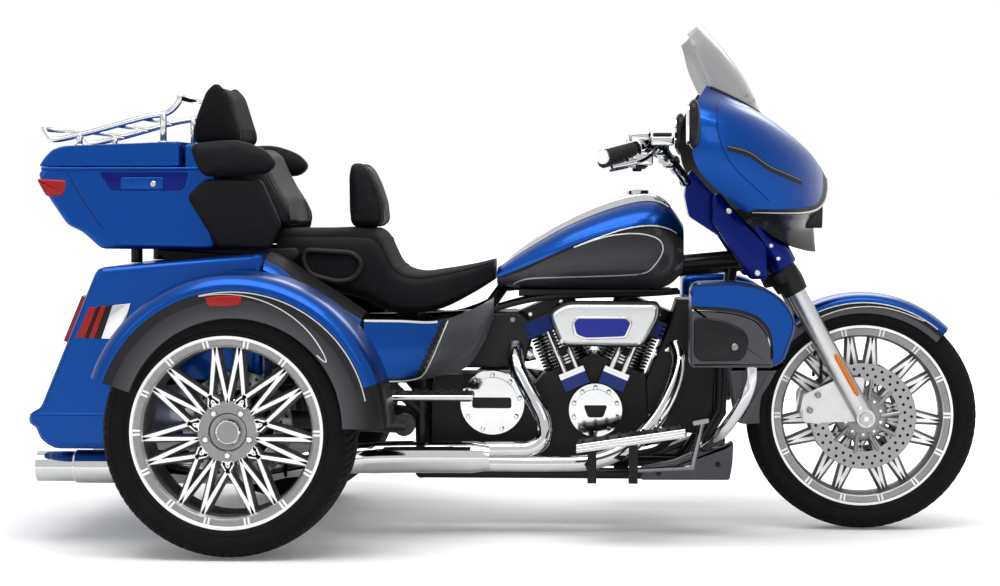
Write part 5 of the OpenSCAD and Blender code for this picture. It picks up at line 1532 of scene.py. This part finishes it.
def make_boards():
    for s, side in SIDE_NAMES:
        b = Build()

        def on_board(x, y, h):
            return (x, s * y, 252 + (x - 180) * tan(BOARD_LEAN) + BOARD_THICK / cos(BOARD_LEAN) + h)
        for k in range(9):
            x = 196 + 32 * k
            b.rod(on_board(x, 308, 1), on_board(x, 404, 1), 5, 0, 12)
        for h in (-4, -11, -18):
            b.tube([on_board(x, 413, h) for x in steps(20, 180, 464)], 5, 14, 1, ref=(0, 1, 0))
        for k in range(7):
            x = -332 + 36 * k
            b.rod((x, s * 268, 403), (x, s * 366, 403), 4.5, 0, 12)
        b.tube([(x, s * 373, 393) for x in steps(16, -348, -94)], 7, 14, 1)
        b.piece("board_treads_" + side, "chassis", "rubber chrome", "board_rubber")


# Top box, trunk and lamps

def make_box_trim():
    """Beads, side panels, latch and lamps of the top box."""
    x0 = REAR_AXLE[0]
    for s, side in SIDE_NAMES:
        y = s * BOX_HALF
        b = Build()
        b.tube([(x0 + x, y - s * 1.0, 998.5) for x in steps(30, -556, -92)], 4.2, 10, 1)
        panel = fillet([(x0 - 402, 990), (x0 - 157, 990), (x0 - 172, 940), (x0 - 368, 940)], 14, 6)
        b.pillow(panel, y - s * 3, y + s * 2.4, 2, 3, 0)
        if s < 0:
            latch = fillet([(x0 - 341, 975), (x0 - 224, 975), (x0 - 224, 942), (x0 - 341, 942)], 6, 5)
            b.pillow(latch, y, y + s * 7, 2.5, 3, 2)
            b.rod((x0 - 252, y, 957), (x0 - 252, y + s * 9, 957), 8, 3, 24)
        seam = smooth([(x0 - 488, 992), (x0 - 466, 950), (x0 - 424, 884), (x0 - 389, 836)], 24)
        b.tube([(p[0], y - s * 0.6, p[1]) for p in seam], 1.6, 8, 4)
        b.piece("box_side_trim_" + side, "chassis", "deep_blue blue blue chrome gloss_black", "blue_paint")
        lamp = fillet([(x0 - 571, 972), (x0 - 488, 968), (x0 - 494, 926), (x0 - 543, 922)], 12, 6)
        b = Build().pillow(lamp, s * (BOX_HALF + 3), s * 190, 6, 4)
        b.piece("box_lamp_" + side, "chassis", "red_lens", "red_lens")


def make_box_shade_tray():
    # painted shade: a black slatted tray fills the gap under the top box, standing in for the shade the box
    # casts there
    tray = fillet([(-966, 784), (-580, 784), (-572, 766), (-590, 748), (-940, 746)], 8, 4)
    b = Build().pillow(tray, -232, 232, 7, 4, 0)
    for x in steps(8, -930, -610):
        b.rod((x, -234, 764), (x, 234, 764), 5, 0, 10)
    b.piece("box_shade_tray", "chassis", "plastic", "black_plastic")


def make_body_ridges():
    b = Build()
    for s in SIDES:
        b.tube([(x, s * (BODY_HALF - 1.5), 349) for x in steps(20, -1258, -934)],
               [1.5] + [4] * 19 + [1.5], 12)
    b.piece("body_ridges", "chassis", "blue", "blue_paint")


def make_rear_lamps():
    """Lamp stripes on each side of the rear body."""
    for s, side in SIDE_NAMES:
        b = Build()
        y = s * BODY_HALF
        top, low = ((-1102, 632), (-990, 643)), ((-1137, 553), (-1018, 548))
        # share of the lamp's length where each stripe starts and ends, material
        for k0, k1, mat in ((0, 0.2, 0), (0.2, 0.28, 1), (0.28, 0.42, 0), (0.42, 0.56, 1), (0.56, 1, 2)):
            pts = [mix(*top, k0), mix(*top, k1), mix(*low, k1), mix(*low, k0)]
            b.pillow(fillet(pts, 3, 4), y - s * 2, y + s * 5, 1.5, 3, mat)
        b.piece("side_lamp_" + side, "chassis", "red_lens gloss_black chrome", "red_lens")


DASH_LEAN = radians(12)


def make_dash():
    """Blank round gauges and a dark display on the rider's side of the fairing."""
    b = Build()

    def at(y, h, out):
        return (FRONT_AXLE[0] - 326 - h * sin(DASH_LEAN) - out * cos(DASH_LEAN) - 7, y,
                1000 + h * cos(DASH_LEAN) - out * sin(DASH_LEAN))
    for y, h, r in ((-190, 60, 44), (-82, 80, 36), (82, 80, 36), (190, 60, 44)):
        b.rod(at(y, h, -4), at(y, h, 10), r, 1, 40)
        b.rod(at(y, h, 4), at(y, h, 11), r - 6, 2, 40)
        b.rod(at(y, h, 9), at(y, h, 13), 4, 0, 16)
    face = fillet([(-70, -34), (70, -34), (70, 34), (-70, 34)], 10, 5)
    b.loft([[at(p[0], p[1], d) for p in face] for d in (-4, 8)], 0)
    b.loft([[at(p[0], p[1], d) for p in inset(face, 6)] for d in (6, 9)], 2)
    b.piece("dash_gauges", "steering", "plastic chrome dark_glass", "black_plastic")


def make_headlamp_trim():
    b = Build()
    x = FRONT_AXLE[0] - 118
    for s in SIDES:
        b.rod((x - 12, s * 46, 880), (x + 2, s * 46, 880), 30, 0, 32)
        b.rod((x - 4, s * 46, 880), (x + 4, s * 46, 880), 23, 1, 32)
    b.piece("lamp_projectors", "steering", "chrome_dark clear_lens", "lamp_glass")


# Camera, floor and light

CAMERA = (0.2434, -6.1318, 0.9287)
YAW, PITCH = radians(2.642), radians(2.571)
FOCAL_PX, IMAGE_W, SENSOR = 2191.1, 1000.0, 36.0
# Half the floor's width in metres, and how much it glows under the part and away from it
FLOOR_HALF, FLOOR_LIFT, FAR_LIFT = 40.0, 0.12, 0.86
# name, place, aim, width and length, power
LAMPS = (("top", (-0.2, -1.2, 4.2), (0, 0, 0.4), (4.5, 1.8), 125),
         ("key", (2.6, -4.6, 2.8), (0, 0, 0.6), (1.6, 1.6), 20),
         ("rear_side", (-3.6, -3.8, 2.4), (-0.4, 0, 0.6), (1.4, 1.4), 16),
         ("strip", (0.0, -2.0, 3.4), (0, 0, 0.5), (5.0, 0.3), 40),
         ("far", (0.5, 4.6, 3.2), (0, 0, 0.6), (4.0, 1.5), 60))


def make_stage():
    """Camera set as the photo's, floor, world and lamps."""
    cam = bpy.data.cameras.new("camera")
    cam.sensor_width = SENSOR
    cam.lens = SENSOR * FOCAL_PX / IMAGE_W
    obj = bpy.data.objects.new("camera", cam)
    scene.collection.objects.link(obj)
    obj.location = CAMERA
    obj.rotation_euler = (pi / 2 - PITCH, 0, YAW)
    scene.camera = obj
    scene.view_settings.view_transform = "Standard"
    floor_mesh = bpy.data.meshes.new("floor")
    corners = [(x * FLOOR_HALF, y * FLOOR_HALF, 0) for x, y in ((-1, -1), (1, -1), (1, 1), (-1, 1))]
    floor_mesh.from_pydata(corners, [], [(0, 1, 2, 3)])
    floor = bpy.data.objects.new("floor", floor_mesh)
    scene.collection.objects.link(floor)
    floor_mesh.materials.append(plain_floor())
    make_world()
    for name, at, aim, size, power_w in LAMPS:
        data = bpy.data.lights.new(name, "AREA")
        data.shape = "RECTANGLE"
        data.size, data.size_y = size
        data.energy = power_w
        lamp = bpy.data.objects.new(name, data)
        scene.collection.objects.link(lamp)
        lamp.location = at
        lamp.rotation_euler = (Vector(aim) - Vector(at)).to_track_quat("-Z", "Y").to_euler()


def seen_rays(tree, rays):
    """1 for what the camera sees, straight on or through metal and glass, else 0."""
    kinds = ("Is Camera Ray", "Is Glossy Ray", "Is Transmission Ray")
    camera, glossy, through = (Expr(tree, rays.outputs[kind]) for kind in kinds)
    return (camera + glossy + through).over(0.5)


def plain_floor():
    """Pale floor that keeps the shadow, lifted to white for the camera away from the part."""
    s = Surface("pale_floor", (0.9, 0.9, 0.9), 0.6, spec=0.2)
    s.vary(3, 0.01)
    x, y, _ = s.xyz()
    rays = s.tree.nodes.new("ShaderNodeLightPath")
    camera = seen_rays(s.tree, rays)
    away = (x * 0.75).hypot(y + 0.3).over(2.0, 1.0)
    s.bsdf.inputs["Emission Color"].default_value = (1, 1, 1, 1)
    lift = camera * (away * (FAR_LIFT - FLOOR_LIFT) + FLOOR_LIFT)
    s.tree.links.new(lift.socket, s.bsdf.inputs["Emission Strength"])
    return s.mat


def make_world():
    """White for the camera and in reflections; as light it is dimmer, with a dark band at the horizon."""
    world = bpy.data.worlds.new("studio")
    scene.world = world
    world.use_nodes = True
    tree = world.node_tree
    tree.nodes.clear()
    out = tree.nodes.new("ShaderNodeOutputWorld")
    back = tree.nodes.new("ShaderNodeBackground")
    tree.links.new(back.outputs[0], out.inputs[0])
    back.inputs["Color"].default_value = (1, 1, 1, 1)
    rays = tree.nodes.new("ShaderNodeLightPath")
    coords = tree.nodes.new("ShaderNodeTexCoord")
    split = tree.nodes.new("ShaderNodeSeparateXYZ")
    tree.links.new(coords.outputs["Generated"], split.inputs[0])
    y = Expr(tree, split.outputs[1])
    z = Expr(tree, split.outputs[2])
    sky = y.over(0.2, 0.5) * 0.3 + z.over(0.5, 0.3) * 0.5 + 0.12
    dim = sky - z.between(-0.15, 0.2, 0.1) * y.under(0.0, 0.4) * 0.09
    camera = seen_rays(tree, rays)
    strength = camera + (camera * -1.0 + 1.0) * dim
    tree.links.new(strength.socket, back.inputs["Strength"])


make_materials()
for look, names in NODE_LOOKS.items():
    for node_name in names.split():
        dress_node(node_name, M[look])
for make in (make_fairing, make_mirrors, make_tank, make_seat, make_pads, make_rear_fenders,
             make_front_fender, make_lower_fairings, make_side_covers, make_exhaust, make_rack, make_bars,
             make_guard, make_tyres, make_engine_trim, make_fork_trim, make_leg_covers, make_dark_fittings,
             make_wheels, make_spoiler, make_boards, make_box_trim, make_box_shade_tray, make_body_ridges,
             make_rear_lamps, make_dash, make_headlamp_trim):
    make()
make_stage()
